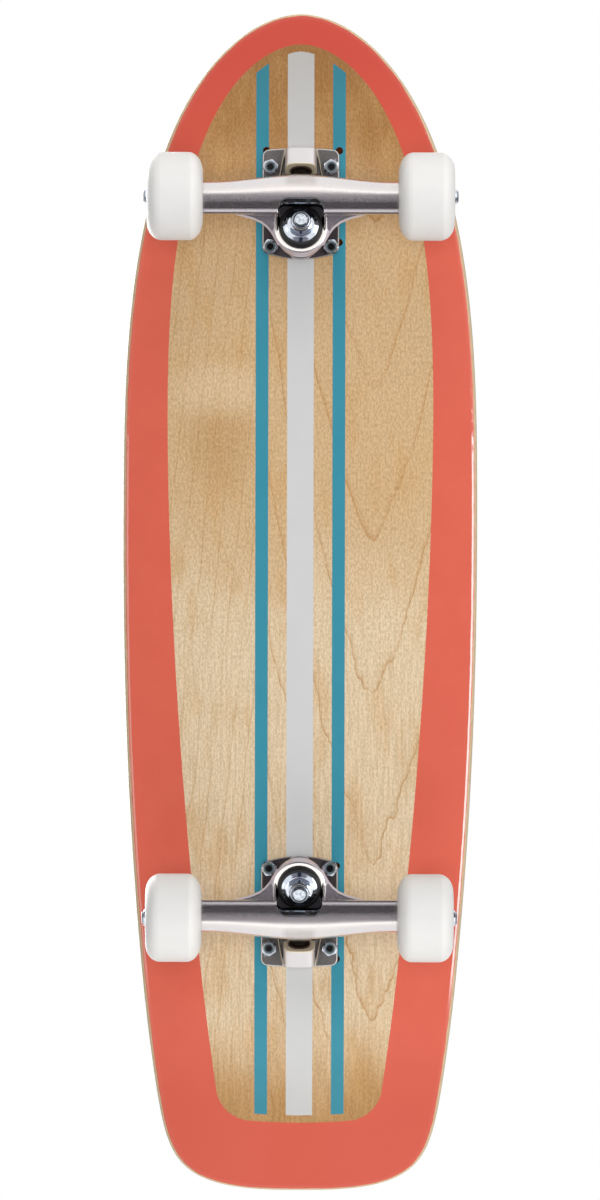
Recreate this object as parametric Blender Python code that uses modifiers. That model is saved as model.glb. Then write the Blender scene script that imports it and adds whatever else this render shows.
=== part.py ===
"""Cruiser skateboard: a pressed wooden deck, two steerable cast trucks and four wheels.

The board stands on its wheels. X runs to the nose, Y to the rider's left and Z up,
with the origin on the ground under the middle of the deck. Sizes are in millimetres.

A truck is modelled in its own frame, whose origin is on the underside of the deck at the
middle of the four mounting bolts: X runs outward, to the pivot end of the base plate,
and Z runs down, away from the deck. The rear truck is the front one turned end for end.
"""

import math

import bmesh
import bpy
from mathutils import Matrix, Vector

MM = 0.001

# Fits
SEAT_GAP = 0.3
RUNNING_GAP = 0.08

# Deck, seen in plan
NOSE_OVERHANG = 133.6
TRUCK_SPACING = 475.0
TAIL_OVERHANG = 196.4
DECK_WIDTH = 241.0
WIDEST_BEHIND_FRONT_TRUCK = 215.5
NOSE_LENGTHWISE_POWER = 2.95
NOSE_SIDEWAYS_POWER = 1.87
TAIL_NARROWING = 24.4
TAIL_NARROWING_REACH = 397.0
TAIL_NARROWING_POWER = 2.2
TAIL_SQUARENESS = 30.0
TAIL_CORNER_POWER = 0.36

# Deck, seen from the side and in section
DECK_THICKNESS = 11.0
RAIL_ROUNDING = 3.0
TAIL_BEND_FROM_TRUCK = 52.0
TAIL_BEND_RADIUS = 150.0
TAIL_ANGLE = math.radians(17.0)
NOSE_BEND_FROM_TRUCK = 50.0
NOSE_BEND_RADIUS = 180.0
NOSE_ANGLE = math.radians(11.0)
CONCAVE_FLAT_HALF = 36.0
CONCAVE_RISE = 7.0
BEND_STEPS = 4
CONCAVE_STEPS = 4

# Grip tape
GRIP_THICKNESS = 0.9
GRIP_INSET = 1.6
GRIP_HOLE_RADIUS = 5.8

# Mounting bolts and their lock nuts
BOLT_PATTERN_LENGTH = 53.98
BOLT_PATTERN_WIDTH = 41.28
BOLT_RADIUS = 2.4
BOLT_HEAD_RADIUS = 4.7
BOLT_HEAD_HEIGHT = 2.6
BOLT_SOCKET_ACROSS = 3.2
BOLT_SOCKET_DEPTH = 1.8
NUT_ACROSS_FLATS = 9.5
NUT_HEX_HEIGHT = 4.2
NUT_COLLAR_RADIUS = 4.0
NUT_COLLAR_HEIGHT = 1.6
BOLT_END_INSIDE_NUT = 1.2

# Spare holes of a second bolt pattern, as distances from each truck's middle:
# outward along the board, then to the rider's left
SPARE_HOLE_RADIUS = 2.5
FRONT_SPARE_HOLES = ((38.9, 26.1), (-23.3, 26.1), (38.9, -23.3))
REAR_SPARE_HOLES = ((34.8, 25.1), (-28.2, 25.1))

# Base plate
PLATE_THICKNESS = 6.0
PLATE_OUTER_END = 40.3
PLATE_INNER_END = 32.3
PLATE_INNER_BOW = 3.0
PLATE_HALF_WIDTH = 26.0
PLATE_CORNER_RADIUS = 9.0
PLATE_EDGE_BEVEL = 1.2
PLATFORM_START = 8.0
PLATFORM_END = 39.5
PLATFORM_WIDE_HALF = 14.9
PLATFORM_NARROW_HALF = 11.5
PLATFORM_HEIGHT = 2.2
RIB_WIDTH = 1.3
RIB_HEIGHT = 3.6
KINGPIN_BOSS_RADIUS = 11.4
KINGPIN_BOSS_OFFSET = -23.9

# Kingpin and what it holds, as distances along it from the deck
KINGPIN_FOOT_OFFSET = -28.2
KINGPIN_LEAN = math.radians(15.1)
KINGPIN_RADIUS = 4.75
KINGPIN_HEAD_RADIUS = 6.4
KINGPIN_HEAD_START = 2.2
KINGPIN_HEAD_HEIGHT = 5.0
KINGPIN_END_BEYOND_NUT = 1.8
BOSS_TOP = 17.0
CUP_WASHER_THICKNESS = 1.6
BOARD_WASHER_RADIUS = 12.0
ROAD_WASHER_RADIUS = 12.1
BOARD_BUSHING_HEIGHT = 13.0
BOARD_BUSHING_RADIUS = 13.0
RING_FLOOR_THICKNESS = 5.7
ROAD_BUSHING_HEIGHT = 12.0
ROAD_BUSHING_RADIUS = 14.6
KINGPIN_NUT_ACROSS = 14.3
KINGPIN_NUT_HEX_HEIGHT = 6.4
KINGPIN_NUT_COLLAR_RADIUS = 6.4
KINGPIN_NUT_COLLAR_HEIGHT = 3.2

# Pivot
PIVOT_OUTWARD = 27.5
PIVOT_DROP = 11.0
PIVOT_BOSS_RADIUS = 10.7
PIVOT_BOSS_BACK = 9.5
PIVOT_MOUTH = 4.0
PIVOT_BORE_RADIUS = 7.5
PIVOT_BORE_DEPTH = 6.2
PIVOT_CUP_WALL = 1.3
PIVOT_PIN_RADIUS = 5.5

# Hanger
AXLE_DROP = 53.0
AXLE_OUTWARD = 4.2
HANGER_WIDTH = 144.0
BAR_RADIUS = 9.7
BAR_SECTION_POWER = 2.2
BULGE_OUTWARD = 4.7
BULGE_DOWN = 4.0
BULGE_REACH = 64.0
RING_OUTER_RADIUS = 17.3
RING_RIM_HEIGHT = 8.5
RING_SEAT_DEPTH = 1.5
RING_HOLE_RADIUS = 7.0
POCKET_WALL_TO_AXLE = 1.1
WEB_TOP_BELOW_AXLE = 8.0
WEB_THICKNESS = 8.0
WEB_OUTLINE = ((62.0, -4.0), (41.0, -8.3), (27.0, -12.6), (20.2, -19.1), (15.5, -27.0))
BODY_HALF_WIDTH = 18.0

# Axle, bearings and wheels
AXLE_RADIUS = 4.0
AXLE_BEYOND_NUT = 1.2
BEARING_RADIUS = 11.0
BEARING_WIDTH = 7.0
BEARING_SPACING = 10.0
BEARING_SHIELD_INNER = 6.2
BEARING_SHIELD_OUTER = 9.2
BEARING_SHIELD_DEPTH = 0.5
SPEED_WASHER_RADIUS = 6.5
SPEED_WASHER_THICKNESS = 0.8
AXLE_NUT_ACROSS = 12.7
AXLE_NUT_HEX_HEIGHT = 4.8
AXLE_NUT_COLLAR_RADIUS = 5.4
AXLE_NUT_COLLAR_HEIGHT = 2.0
WHEEL_RADIUS = 29.5
WHEEL_WIDTH = 37.5
WHEEL_TREAD = 18.0
WHEEL_OUTER_LIP_RADIUS = 17.8
WHEEL_INNER_LIP_RADIUS = 15.4
WHEEL_RECESS_RADIUS = 12.6
WHEEL_HUB_RIDGE_RADIUS = 8.5

# Sides of the round pieces
WHEEL_SIDES = 28
LARGE_SIDES = 20
SHAFT_SIDES = 16
BOLT_SIDES = 12

COLLECTION_NAME = "cruiser_skateboard"


def start_clean():
    """Empty the scene and make the collection that holds the board."""
    for item in list(bpy.data.objects):
        bpy.data.objects.remove(item, do_unlink=True)
    board = bpy.data.collections.new(COLLECTION_NAME)
    bpy.context.scene.collection.children.link(board)
    return board


def material(name, colour, roughness, metallic):
    """A plain Principled material."""
    made = bpy.data.materials.new(name)
    made.use_nodes = True
    shader = made.node_tree.nodes["Principled BSDF"]
    shader.inputs["Base Color"].default_value = (*colour, 1.0)
    shader.inputs["Roughness"].default_value = roughness
    shader.inputs["Metallic"].default_value = metallic
    made.diffuse_color = (*colour, 1.0)
    return made


def evaluated_mesh(item):
    """The mesh of an object with its modifiers, and the object removed."""
    bpy.context.view_layer.update()
    graph = bpy.context.evaluated_depsgraph_get()
    mesh = bpy.data.meshes.new_from_object(item.evaluated_get(graph))
    bpy.data.objects.remove(item, do_unlink=True)
    return mesh


def work_object(mesh):
    """A passing object, to carry modifiers."""
    item = bpy.data.objects.new("work", mesh)
    bpy.context.scene.collection.objects.link(item)
    return item


def turned(profile, sides, half_step=False):
    """A closed solid turned about Z from (radius, height) points.

    The points run down the outer side. A profile that starts on the axis is solid,
    and any other is a ring whose last point joins its first.
    """
    bm = bmesh.new()
    points = [bm.verts.new((radius * MM, 0.0, height * MM)) for radius, height in profile]
    for first, second in zip(points, points[1:]):
        bm.edges.new((first, second))
    if profile[0][0] > 0.0:
        bm.edges.new((points[-1], points[0]))
    outline = bpy.data.meshes.new("profile")
    bm.to_mesh(outline)
    bm.free()
    item = work_object(outline)
    screw = item.modifiers.new("turn", "SCREW")
    screw.axis = "Z"
    screw.steps = sides
    screw.render_steps = sides
    screw.use_merge_vertices = True
    screw.merge_threshold = 0.00001
    mesh = evaluated_mesh(item)
    if half_step:
        mesh.transform(Matrix.Rotation(math.pi / sides, 4, "Z"))
    return outward(mesh)


def outward(mesh):
    """Turn a closed mesh's faces outward and join points that coincide."""
    bm = bmesh.new()
    bm.from_mesh(mesh)
    bmesh.ops.remove_doubles(bm, verts=bm.verts, dist=0.000005)
    bmesh.ops.recalc_face_normals(bm, faces=bm.faces)
    bm.to_mesh(mesh)
    bm.free()
    return mesh


def prism(outline, bottom, top, bevel=0.0):
    """A flat outline of (x, y) points raised from bottom to top, its top edge bevelled."""
    bm = bmesh.new()
    corners = [bm.verts.new((x * MM, y * MM, bottom * MM)) for x, y in outline]
    base = bm.faces.new(corners)
    raised = bmesh.ops.extrude_face_region(bm, geom=[base], use_keep_orig=True)
    lifted = [item for item in raised["geom"] if isinstance(item, bmesh.types.BMVert)]
    bmesh.ops.translate(bm, vec=(0.0, 0.0, (top - bottom) * MM), verts=lifted)
    if bevel > 0.0:
        rim = [edge for edge in bm.edges if edge.verts[0] in lifted and edge.verts[1] in lifted]
        bmesh.ops.bevel(bm, geom=rim, offset=bevel * MM, segments=1, affect="EDGES")
    mesh = bpy.data.meshes.new("prism")
    bm.to_mesh(mesh)
    bm.free()
    return outward(mesh)


def hull(points):
    """The tight convex solid around points in millimetres."""
    bm = bmesh.new()
    for point in points:
        bm.verts.new(Vector(point) * MM)
    made = bmesh.ops.convex_hull(bm, input=bm.verts)
    unused = [item for item in made["geom_unused"] if isinstance(item, bmesh.types.BMVert)]
    inside = [item for item in made["geom_interior"] if isinstance(item, bmesh.types.BMVert)]
    bmesh.ops.delete(bm, geom=list(set(unused + inside)), context="VERTS")
    mesh = bpy.data.meshes.new("hull")
    bm.to_mesh(mesh)
    bm.free()
    return outward(mesh)


def combined(base, tools, operation):
    """A mesh joined with, or cut by, other meshes of the same frame."""
    body = work_object(base)
    helpers = []
    for tool in tools:
        helper = work_object(tool)
        helpers.append(helper)
        step = body.modifiers.new(operation, "BOOLEAN")
        step.operation = operation
        step.solver = "EXACT"
        step.object = helper
    mesh = evaluated_mesh(body)
    for helper in helpers:
        bpy.data.objects.remove(helper, do_unlink=True)
    return outward(mesh)


def cut_off(mesh, point, normal):
    """Remove what lies beyond a plane and close the cut."""
    bm = bmesh.new()
    bm.from_mesh(mesh)
    everything = list(bm.verts) + list(bm.edges) + list(bm.faces)
    cut = bmesh.ops.bisect_plane(
        bm,
        geom=everything,
        plane_co=Vector(point) * MM,
        plane_no=Vector(normal),
        clear_outer=True,
    )
    rim = [item for item in cut["geom_cut"] if isinstance(item, bmesh.types.BMEdge)]
    bmesh.ops.contextual_create(bm, geom=rim)
    bm.to_mesh(mesh)
    bm.free()
    return outward(mesh)


def moved(mesh, matrix):
    """The mesh itself, moved by a matrix."""
    mesh.transform(matrix)
    return mesh


def shifted(x, y, z):
    """A move in millimetres."""
    return Matrix.Translation(Vector((x, y, z)) * MM)


def axis_frame(point, direction):
    """A frame whose Z runs along a direction of the truck's middle plane."""
    z_axis = Vector(direction).normalized()
    y_axis = Vector((0.0, 1.0, 0.0))
    x_axis = y_axis.cross(z_axis)
    frame = Matrix((x_axis, y_axis, z_axis)).transposed().to_4x4()
    frame.translation = Vector(point) * MM
    return frame


def axle_frame(distance, side):
    """A frame on the axle, a distance out from the truck's middle, Z pointing away from it."""
    z_axis = Vector((0.0, side, 0.0))
    x_axis = Vector((1.0, 0.0, 0.0))
    y_axis = z_axis.cross(x_axis)
    frame = Matrix((x_axis, y_axis, z_axis)).transposed().to_4x4()
    frame.translation = Vector((AXLE_OUTWARD, side * distance, AXLE_DROP)) * MM
    return frame


# Places worked out from the driving dimensions
DECK_LENGTH = NOSE_OVERHANG + TRUCK_SPACING + TAIL_OVERHANG
FRONT_TRUCK_X = DECK_LENGTH / 2 - NOSE_OVERHANG
REAR_TRUCK_X = FRONT_TRUCK_X - TRUCK_SPACING
WIDEST_X = FRONT_TRUCK_X - WIDEST_BEHIND_FRONT_TRUCK
DECK_UNDERSIDE = AXLE_DROP + WHEEL_RADIUS
PLATE_FACE = SEAT_GAP + PLATE_THICKNESS

BOARD_WASHER_START = BOSS_TOP + SEAT_GAP
BOARD_BUSHING_START = BOARD_WASHER_START + CUP_WASHER_THICKNESS + SEAT_GAP
RING_FLOOR_START = BOARD_BUSHING_START + BOARD_BUSHING_HEIGHT + SEAT_GAP
RING_START = RING_FLOOR_START - RING_SEAT_DEPTH
RING_FLOOR_END = RING_FLOOR_START + RING_FLOOR_THICKNESS
RING_RIM = RING_FLOOR_END + RING_RIM_HEIGHT
ROAD_BUSHING_START = RING_FLOOR_END + SEAT_GAP
ROAD_WASHER_START = ROAD_BUSHING_START + ROAD_BUSHING_HEIGHT + SEAT_GAP
KINGPIN_NUT_START = ROAD_WASHER_START + CUP_WASHER_THICKNESS + SEAT_GAP
KINGPIN_NUT_TOP = KINGPIN_NUT_START + KINGPIN_NUT_HEX_HEIGHT + KINGPIN_NUT_COLLAR_HEIGHT
KINGPIN_END = KINGPIN_NUT_TOP + KINGPIN_END_BEYOND_NUT

KINGPIN_DIRECTION = Vector((math.sin(KINGPIN_LEAN), 0.0, math.cos(KINGPIN_LEAN)))
KINGPIN_FOOT = Vector((KINGPIN_FOOT_OFFSET, 0.0, 0.0))
KINGPIN_FRAME = axis_frame(KINGPIN_FOOT, KINGPIN_DIRECTION)
RING_MIDDLE = KINGPIN_FOOT + KINGPIN_DIRECTION * (RING_FLOOR_START + RING_FLOOR_THICKNESS / 2)
PIVOT_POINT = Vector((PIVOT_OUTWARD, 0.0, PIVOT_DROP))
STEERING_DIRECTION = (RING_MIDDLE - PIVOT_POINT).normalized()
STEERING_FRAME = axis_frame(PIVOT_POINT, STEERING_DIRECTION)

HANGER_END = HANGER_WIDTH / 2
INNER_BEARING_START = HANGER_END + SEAT_GAP
OUTER_BEARING_START = INNER_BEARING_START + BEARING_WIDTH + BEARING_SPACING
WHEEL_MIDDLE = INNER_BEARING_START + BEARING_WIDTH + BEARING_SPACING / 2
SPEED_WASHER_START = OUTER_BEARING_START + BEARING_WIDTH + SEAT_GAP
AXLE_NUT_START = SPEED_WASHER_START + SPEED_WASHER_THICKNESS + SEAT_GAP
AXLE_NUT_HEIGHT = AXLE_NUT_HEX_HEIGHT + AXLE_NUT_COLLAR_HEIGHT
AXLE_HALF = AXLE_NUT_START + AXLE_NUT_HEIGHT + AXLE_BEYOND_NUT
AXLE_HOLE_RADIUS = (AXLE_RADIUS + RUNNING_GAP) / math.cos(math.pi / SHAFT_SIDES)


def tail_blank_length():
    """Length of the flat blank beyond the tail bend, so that its plan length is right."""
    plan = TAIL_OVERHANG - TAIL_BEND_FROM_TRUCK
    straight = (plan - TAIL_BEND_RADIUS * math.sin(TAIL_ANGLE)) / math.cos(TAIL_ANGLE)
    return TAIL_BEND_RADIUS * TAIL_ANGLE + straight


def nose_blank_length():
    """Length of the flat blank beyond the nose bend."""
    plan = NOSE_OVERHANG - NOSE_BEND_FROM_TRUCK
    straight = (plan - NOSE_BEND_RADIUS * math.sin(NOSE_ANGLE)) / math.cos(NOSE_ANGLE)
    return NOSE_BEND_RADIUS * NOSE_ANGLE + straight


TAIL_BEND_X = REAR_TRUCK_X - TAIL_BEND_FROM_TRUCK
NOSE_BEND_X = FRONT_TRUCK_X + NOSE_BEND_FROM_TRUCK
BLANK_TAIL_X = TAIL_BEND_X - tail_blank_length()
BLANK_NOSE_X = NOSE_BEND_X + nose_blank_length()


def deck_outline(inset):
    """The blank's outline: a superellipse nose and a tapering body with a squarish tail."""
    nose_steps = 14
    body_steps = 7
    corner_steps = 9
    half_width = DECK_WIDTH / 2 - inset
    nose_reach = BLANK_NOSE_X - WIDEST_X - inset
    tail_reach = WIDEST_X - BLANK_TAIL_X - inset
    side = []
    for step in range(nose_steps):
        turn = math.pi / 2 * (1 - step / nose_steps)
        along = nose_reach * math.sin(turn) ** (2 / NOSE_LENGTHWISE_POWER)
        across = half_width * max(math.cos(turn), 0.0) ** (2 / NOSE_SIDEWAYS_POWER)
        side.append((WIDEST_X + along, across))
    corner_start = math.asin(0.86 ** (TAIL_SQUARENESS / 2))
    shares = [0.86 * step / body_steps for step in range(body_steps)]
    for step in range(corner_steps + 1):
        turn = corner_start + (math.pi / 2 - corner_start) * step / corner_steps
        shares.append(math.sin(turn) ** (2 / TAIL_SQUARENESS))
    for share in shares:
        back = share * tail_reach
        narrowing = TAIL_NARROWING * (back / TAIL_NARROWING_REACH) ** TAIL_NARROWING_POWER
        corner = max(1 - share**TAIL_SQUARENESS, 0.0) ** TAIL_CORNER_POWER
        side.append((WIDEST_X - back, (half_width - narrowing) * corner))
    side[0] = (side[0][0], 0.0)
    side[-1] = (side[-1][0], 0.0)
    other_side = [(x, -y) for x, y in reversed(side[1:-1])]
    return side + other_side


def bent(point):
    """Where a point of the flat blank goes when the blank is pressed."""
    x, y, height = point
    rise = 0.0
    slope = 0.0
    if x < TAIL_BEND_X:
        past = TAIL_BEND_X - x
        slope = min(past / TAIL_BEND_RADIUS, TAIL_ANGLE)
        straight = max(past - TAIL_BEND_RADIUS * TAIL_ANGLE, 0.0)
        x = TAIL_BEND_X - TAIL_BEND_RADIUS * math.sin(slope) - straight * math.cos(slope)
        rise = TAIL_BEND_RADIUS * (1 - math.cos(slope)) + straight * math.sin(slope)
        x += height * math.sin(slope)
    elif x > NOSE_BEND_X:
        past = x - NOSE_BEND_X
        slope = min(past / NOSE_BEND_RADIUS, NOSE_ANGLE)
        straight = max(past - NOSE_BEND_RADIUS * NOSE_ANGLE, 0.0)
        x = NOSE_BEND_X + NOSE_BEND_RADIUS * math.sin(slope) + straight * math.cos(slope)
        rise = NOSE_BEND_RADIUS * (1 - math.cos(slope)) + straight * math.sin(slope)
        x -= height * math.sin(slope)
    past_flat = max(abs(y) - CONCAVE_FLAT_HALF, 0.0)
    concave = CONCAVE_RISE * (past_flat / (DECK_WIDTH / 2 - CONCAVE_FLAT_HALF)) ** 2
    return Vector((x, y, DECK_UNDERSIDE + rise + concave + height * math.cos(slope)))


def pressed(mesh):
    """Score a flat blank along the bends and press it to its shape."""
    tail_arc = TAIL_BEND_RADIUS * TAIL_ANGLE
    nose_arc = NOSE_BEND_RADIUS * NOSE_ANGLE
    lengthwise = [TAIL_BEND_X - tail_arc * step / BEND_STEPS for step in range(BEND_STEPS + 1)]
    lengthwise += [NOSE_BEND_X + nose_arc * step / BEND_STEPS for step in range(BEND_STEPS + 1)]
    concave_width = DECK_WIDTH / 2 - CONCAVE_FLAT_HALF
    crosswise = [
        CONCAVE_FLAT_HALF + concave_width * step / CONCAVE_STEPS for step in range(CONCAVE_STEPS)
    ]
    cuts = [((x, 0.0, 0.0), (1.0, 0.0, 0.0)) for x in lengthwise]
    cuts += [((0.0, side * y, 0.0), (0.0, 1.0, 0.0)) for y in crosswise for side in (1, -1)]
    bm = bmesh.new()
    bm.from_mesh(mesh)
    for place, normal in cuts:
        everything = list(bm.verts) + list(bm.edges) + list(bm.faces)
        bmesh.ops.bisect_plane(bm, geom=everything, plane_co=Vector(place) * MM, plane_no=normal)
    bmesh.ops.triangulate(bm, faces=bm.faces)
    for vert in bm.verts:
        vert.co = bent(vert.co / MM) * MM
    bm.to_mesh(mesh)
    bm.free()
    return outward(mesh)


def bolt_places():
    """The four bolts of a truck, in the truck's frame."""
    half_length = BOLT_PATTERN_LENGTH / 2
    half_width = BOLT_PATTERN_WIDTH / 2
    return [(x, y) for x in (half_length, -half_length) for y in (half_width, -half_width)]


def board_places(truck_x, outward_sign):
    """The bolts of a truck, seen in plan on the board."""
    return [(truck_x + outward_sign * x, y) for x, y in bolt_places()]


def spare_places():
    """The spare holes, seen in plan on the board."""
    front = [(FRONT_TRUCK_X + x, y) for x, y in FRONT_SPARE_HOLES]
    rear = [(REAR_TRUCK_X - x, y) for x, y in REAR_SPARE_HOLES]
    return front + rear


def deck_mesh():
    """The deck: a blank with rounded rails, drilled and countersunk, then pressed."""
    blank = prism(deck_outline(0.0), 0.0, DECK_THICKNESS)
    bm = bmesh.new()
    bm.from_mesh(blank)
    rims = [edge for edge in bm.edges if abs(edge.verts[0].co.z - edge.verts[1].co.z) < 1e-6]
    bmesh.ops.bevel(bm, geom=rims, offset=RAIL_ROUNDING * MM, segments=2, affect="EDGES")
    bm.to_mesh(blank)
    bm.free()
    beyond = 2.0
    sink_top = DECK_THICKNESS + SEAT_GAP
    sink_radius = BOLT_HEAD_RADIUS + SEAT_GAP * 2
    shaft_radius = BOLT_RADIUS + SEAT_GAP
    sink_bottom = DECK_THICKNESS - BOLT_HEAD_HEIGHT
    bolt_hole = [
        (0.0, DECK_THICKNESS + beyond),
        (sink_radius, DECK_THICKNESS + beyond),
        (sink_radius, sink_top - SEAT_GAP * 2),
        (shaft_radius, sink_bottom - SEAT_GAP * 2),
        (shaft_radius, -beyond),
        (0.0, -beyond),
    ]
    spare_hole = [
        (0.0, DECK_THICKNESS + beyond),
        (SPARE_HOLE_RADIUS, DECK_THICKNESS + beyond),
        (SPARE_HOLE_RADIUS, -beyond),
        (0.0, -beyond),
    ]
    places = board_places(FRONT_TRUCK_X, 1) + board_places(REAR_TRUCK_X, -1)
    cutters = [moved(turned(bolt_hole, BOLT_SIDES), shifted(x, y, 0.0)) for x, y in places]
    cutters += [
        moved(turned(spare_hole, BOLT_SIDES), shifted(x, y, 0.0)) for x, y in spare_places()
    ]
    return pressed(combined(outward(blank), cutters, "DIFFERENCE"))


def grip_mesh():
    """The grip tape: a sheet pressed to the deck's top, punched round the bolt heads."""
    bottom = DECK_THICKNESS + SEAT_GAP
    top = bottom + GRIP_THICKNESS
    sheet = prism(deck_outline(RAIL_ROUNDING + GRIP_INSET), bottom, top)
    punch = [
        (0.0, top + 1.0),
        (GRIP_HOLE_RADIUS, top + 1.0),
        (GRIP_HOLE_RADIUS, bottom - 1.0),
        (0.0, bottom - 1.0),
    ]
    places = board_places(FRONT_TRUCK_X, 1) + board_places(REAR_TRUCK_X, -1)
    cutters = [moved(turned(punch, BOLT_SIDES), shifted(x, y, 0.0)) for x, y in places]
    return pressed(combined(sheet, cutters, "DIFFERENCE"))


def bolt_mesh():
    """A countersunk socket bolt, its head up at the origin and its shank down the truck's Z."""
    length = DECK_THICKNESS + PLATE_FACE + SEAT_GAP + NUT_HEX_HEIGHT + NUT_COLLAR_HEIGHT
    length -= SEAT_GAP + BOLT_END_INSIDE_NUT
    profile = [
        (0.0, length),
        (BOLT_RADIUS, length),
        (BOLT_RADIUS, BOLT_HEAD_HEIGHT),
        (BOLT_HEAD_RADIUS, 0.4),
        (BOLT_HEAD_RADIUS, 0.0),
        (0.0, 0.0),
    ]
    socket_radius = BOLT_SOCKET_ACROSS / math.sqrt(3)
    socket = [
        (0.0, BOLT_SOCKET_DEPTH),
        (socket_radius, BOLT_SOCKET_DEPTH),
        (socket_radius, -1.0),
        (0.0, -1.0),
    ]
    return combined(turned(profile, BOLT_SIDES), [turned(socket, 6)], "DIFFERENCE")


def lock_nut_mesh(across, hex_height, collar_radius, collar_height, bore_radius, sides):
    """A hexagonal nut with the round collar that holds its locking insert."""
    corner_radius = across / math.sqrt(3)
    chamfer = (corner_radius - across / 2) * 0.8
    body = [
        (0.0, hex_height),
        (corner_radius - chamfer, hex_height),
        (corner_radius, hex_height - chamfer * 0.6),
        (corner_radius, 0.0),
        (0.0, 0.0),
    ]
    top = hex_height + collar_height
    collar = [
        (0.0, top),
        (collar_radius, top),
        (collar_radius, hex_height / 2),
        (0.0, hex_height / 2),
    ]
    bore = [(0.0, top + 1.0), (bore_radius, top + 1.0), (bore_radius, -1.0), (0.0, -1.0)]
    joined = combined(turned(body, 6), [turned(collar, sides)], "UNION")
    return combined(joined, [turned(bore, sides)], "DIFFERENCE")


def plate_outline():
    """The base plate in plan: rounded corners, and a bowed edge at the kingpin end."""
    corner_steps = 4
    radius = PLATE_CORNER_RADIUS
    outline = []
    corners = (
        (PLATE_OUTER_END - radius, PLATE_HALF_WIDTH - radius, 0.0),
        (-PLATE_INNER_END + radius, PLATE_HALF_WIDTH - radius, math.pi / 2),
        (-PLATE_INNER_END + radius, radius - PLATE_HALF_WIDTH, math.pi),
        (PLATE_OUTER_END - radius, radius - PLATE_HALF_WIDTH, math.pi * 1.5),
    )
    for index, (x, y, start) in enumerate(corners):
        for step in range(corner_steps + 1):
            turn = start + math.pi / 2 * step / corner_steps
            outline.append((x + radius * math.cos(turn), y + radius * math.sin(turn)))
        if index == 1:
            for share in (0.6, 0.0, -0.6):
                across = share * (PLATE_HALF_WIDTH - radius)
                bow = PLATE_INNER_BOW * (1 - share**2)
                outline.append((-PLATE_INNER_END - bow, across))
    return outline


def ring_points(frame, height, radius, count):
    """Points in millimetres round an axis."""
    made = []
    for step in range(count):
        turn = 2 * math.pi * step / count
        spot = Vector((radius * math.cos(turn), radius * math.sin(turn), height)) * MM
        made.append((frame @ spot) / MM)
    return made


def pivot_block():
    """The boss that holds the pivot cup, filled down to the plate."""
    mouth = ring_points(STEERING_FRAME, PIVOT_MOUTH, PIVOT_BOSS_RADIUS, LARGE_SIDES)
    back = ring_points(STEERING_FRAME, -PIVOT_BOSS_BACK, PIVOT_BOSS_RADIUS, LARGE_SIDES)
    inside_plate = PLATE_FACE - 1.0
    points = [(x, y, max(z, inside_plate)) for x, y, z in mouth + back]
    points += [(x, y, inside_plate) for x, y, z in mouth + back]
    return hull(points)


def kingpin_boss():
    """The upright boss under the kingpin, its top cut square to the kingpin."""
    height = BOSS_TOP * 1.5
    profile = [
        (0.0, height),
        (KINGPIN_BOSS_RADIUS, height),
        (KINGPIN_BOSS_RADIUS, SEAT_GAP + 1.0),
        (0.0, SEAT_GAP + 1.0),
    ]
    boss = moved(turned(profile, LARGE_SIDES), shifted(KINGPIN_BOSS_OFFSET, 0.0, 0.0))
    return cut_off(boss, KINGPIN_FOOT + KINGPIN_DIRECTION * BOSS_TOP, KINGPIN_DIRECTION)


def baseplate_mesh():
    """The cast base plate with its pivot boss, ribs and kingpin boss."""
    plate = prism(plate_outline(), SEAT_GAP, PLATE_FACE, PLATE_EDGE_BEVEL)
    root = PLATE_FACE - 1.0
    platform = prism(
        [
            (PLATFORM_START, -PLATFORM_WIDE_HALF),
            (PLATFORM_END, -PLATFORM_NARROW_HALF),
            (PLATFORM_END, PLATFORM_NARROW_HALF),
            (PLATFORM_START, PLATFORM_WIDE_HALF),
        ],
        root,
        PLATE_FACE + PLATFORM_HEIGHT,
        0.8,
    )
    parts = [platform]
    for side in (1, -1):
        rib = [
            (PLATFORM_START - 3.0, side * (PLATFORM_WIDE_HALF + 0.6)),
            (PLATFORM_END - 0.4, side * (PLATFORM_NARROW_HALF + 0.2)),
            (PLATFORM_END - 0.4, side * (PLATFORM_NARROW_HALF + 0.2 - RIB_WIDTH)),
            (PLATFORM_START - 3.0, side * (PLATFORM_WIDE_HALF + 0.6 - RIB_WIDTH)),
        ]
        parts.append(prism(rib, root, PLATE_FACE + RIB_HEIGHT))
    parts.append(pivot_block())
    parts.append(kingpin_boss())
    solid = combined(plate, parts, "UNION")
    bolt_hole = [
        (0.0, PLATE_FACE + 5.0),
        (BOLT_RADIUS + SEAT_GAP, PLATE_FACE + 5.0),
        (BOLT_RADIUS + SEAT_GAP, -1.0),
        (0.0, -1.0),
    ]
    cutters = [
        moved(turned(bolt_hole, BOLT_SIDES), shifted(x, y, 0.0)) for x, y in bolt_places()
    ]
    bore = [
        (0.0, PIVOT_MOUTH + 8.0),
        (PIVOT_BORE_RADIUS, PIVOT_MOUTH + 8.0),
        (PIVOT_BORE_RADIUS, -PIVOT_BORE_DEPTH),
        (0.0, -PIVOT_BORE_DEPTH),
    ]
    cutters.append(moved(turned(bore, SHAFT_SIDES), STEERING_FRAME))
    head_top = KINGPIN_HEAD_START + KINGPIN_HEAD_HEIGHT + SEAT_GAP
    kingpin_hole = [
        (0.0, BOSS_TOP + 6.0),
        (KINGPIN_RADIUS + SEAT_GAP, BOSS_TOP + 6.0),
        (KINGPIN_RADIUS + SEAT_GAP, head_top),
        (KINGPIN_HEAD_RADIUS + SEAT_GAP, head_top),
        (KINGPIN_HEAD_RADIUS + SEAT_GAP, -5.0),
        (0.0, -5.0),
    ]
    cutters.append(moved(turned(kingpin_hole, SHAFT_SIDES), KINGPIN_FRAME))
    return combined(solid, cutters, "DIFFERENCE")


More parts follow.
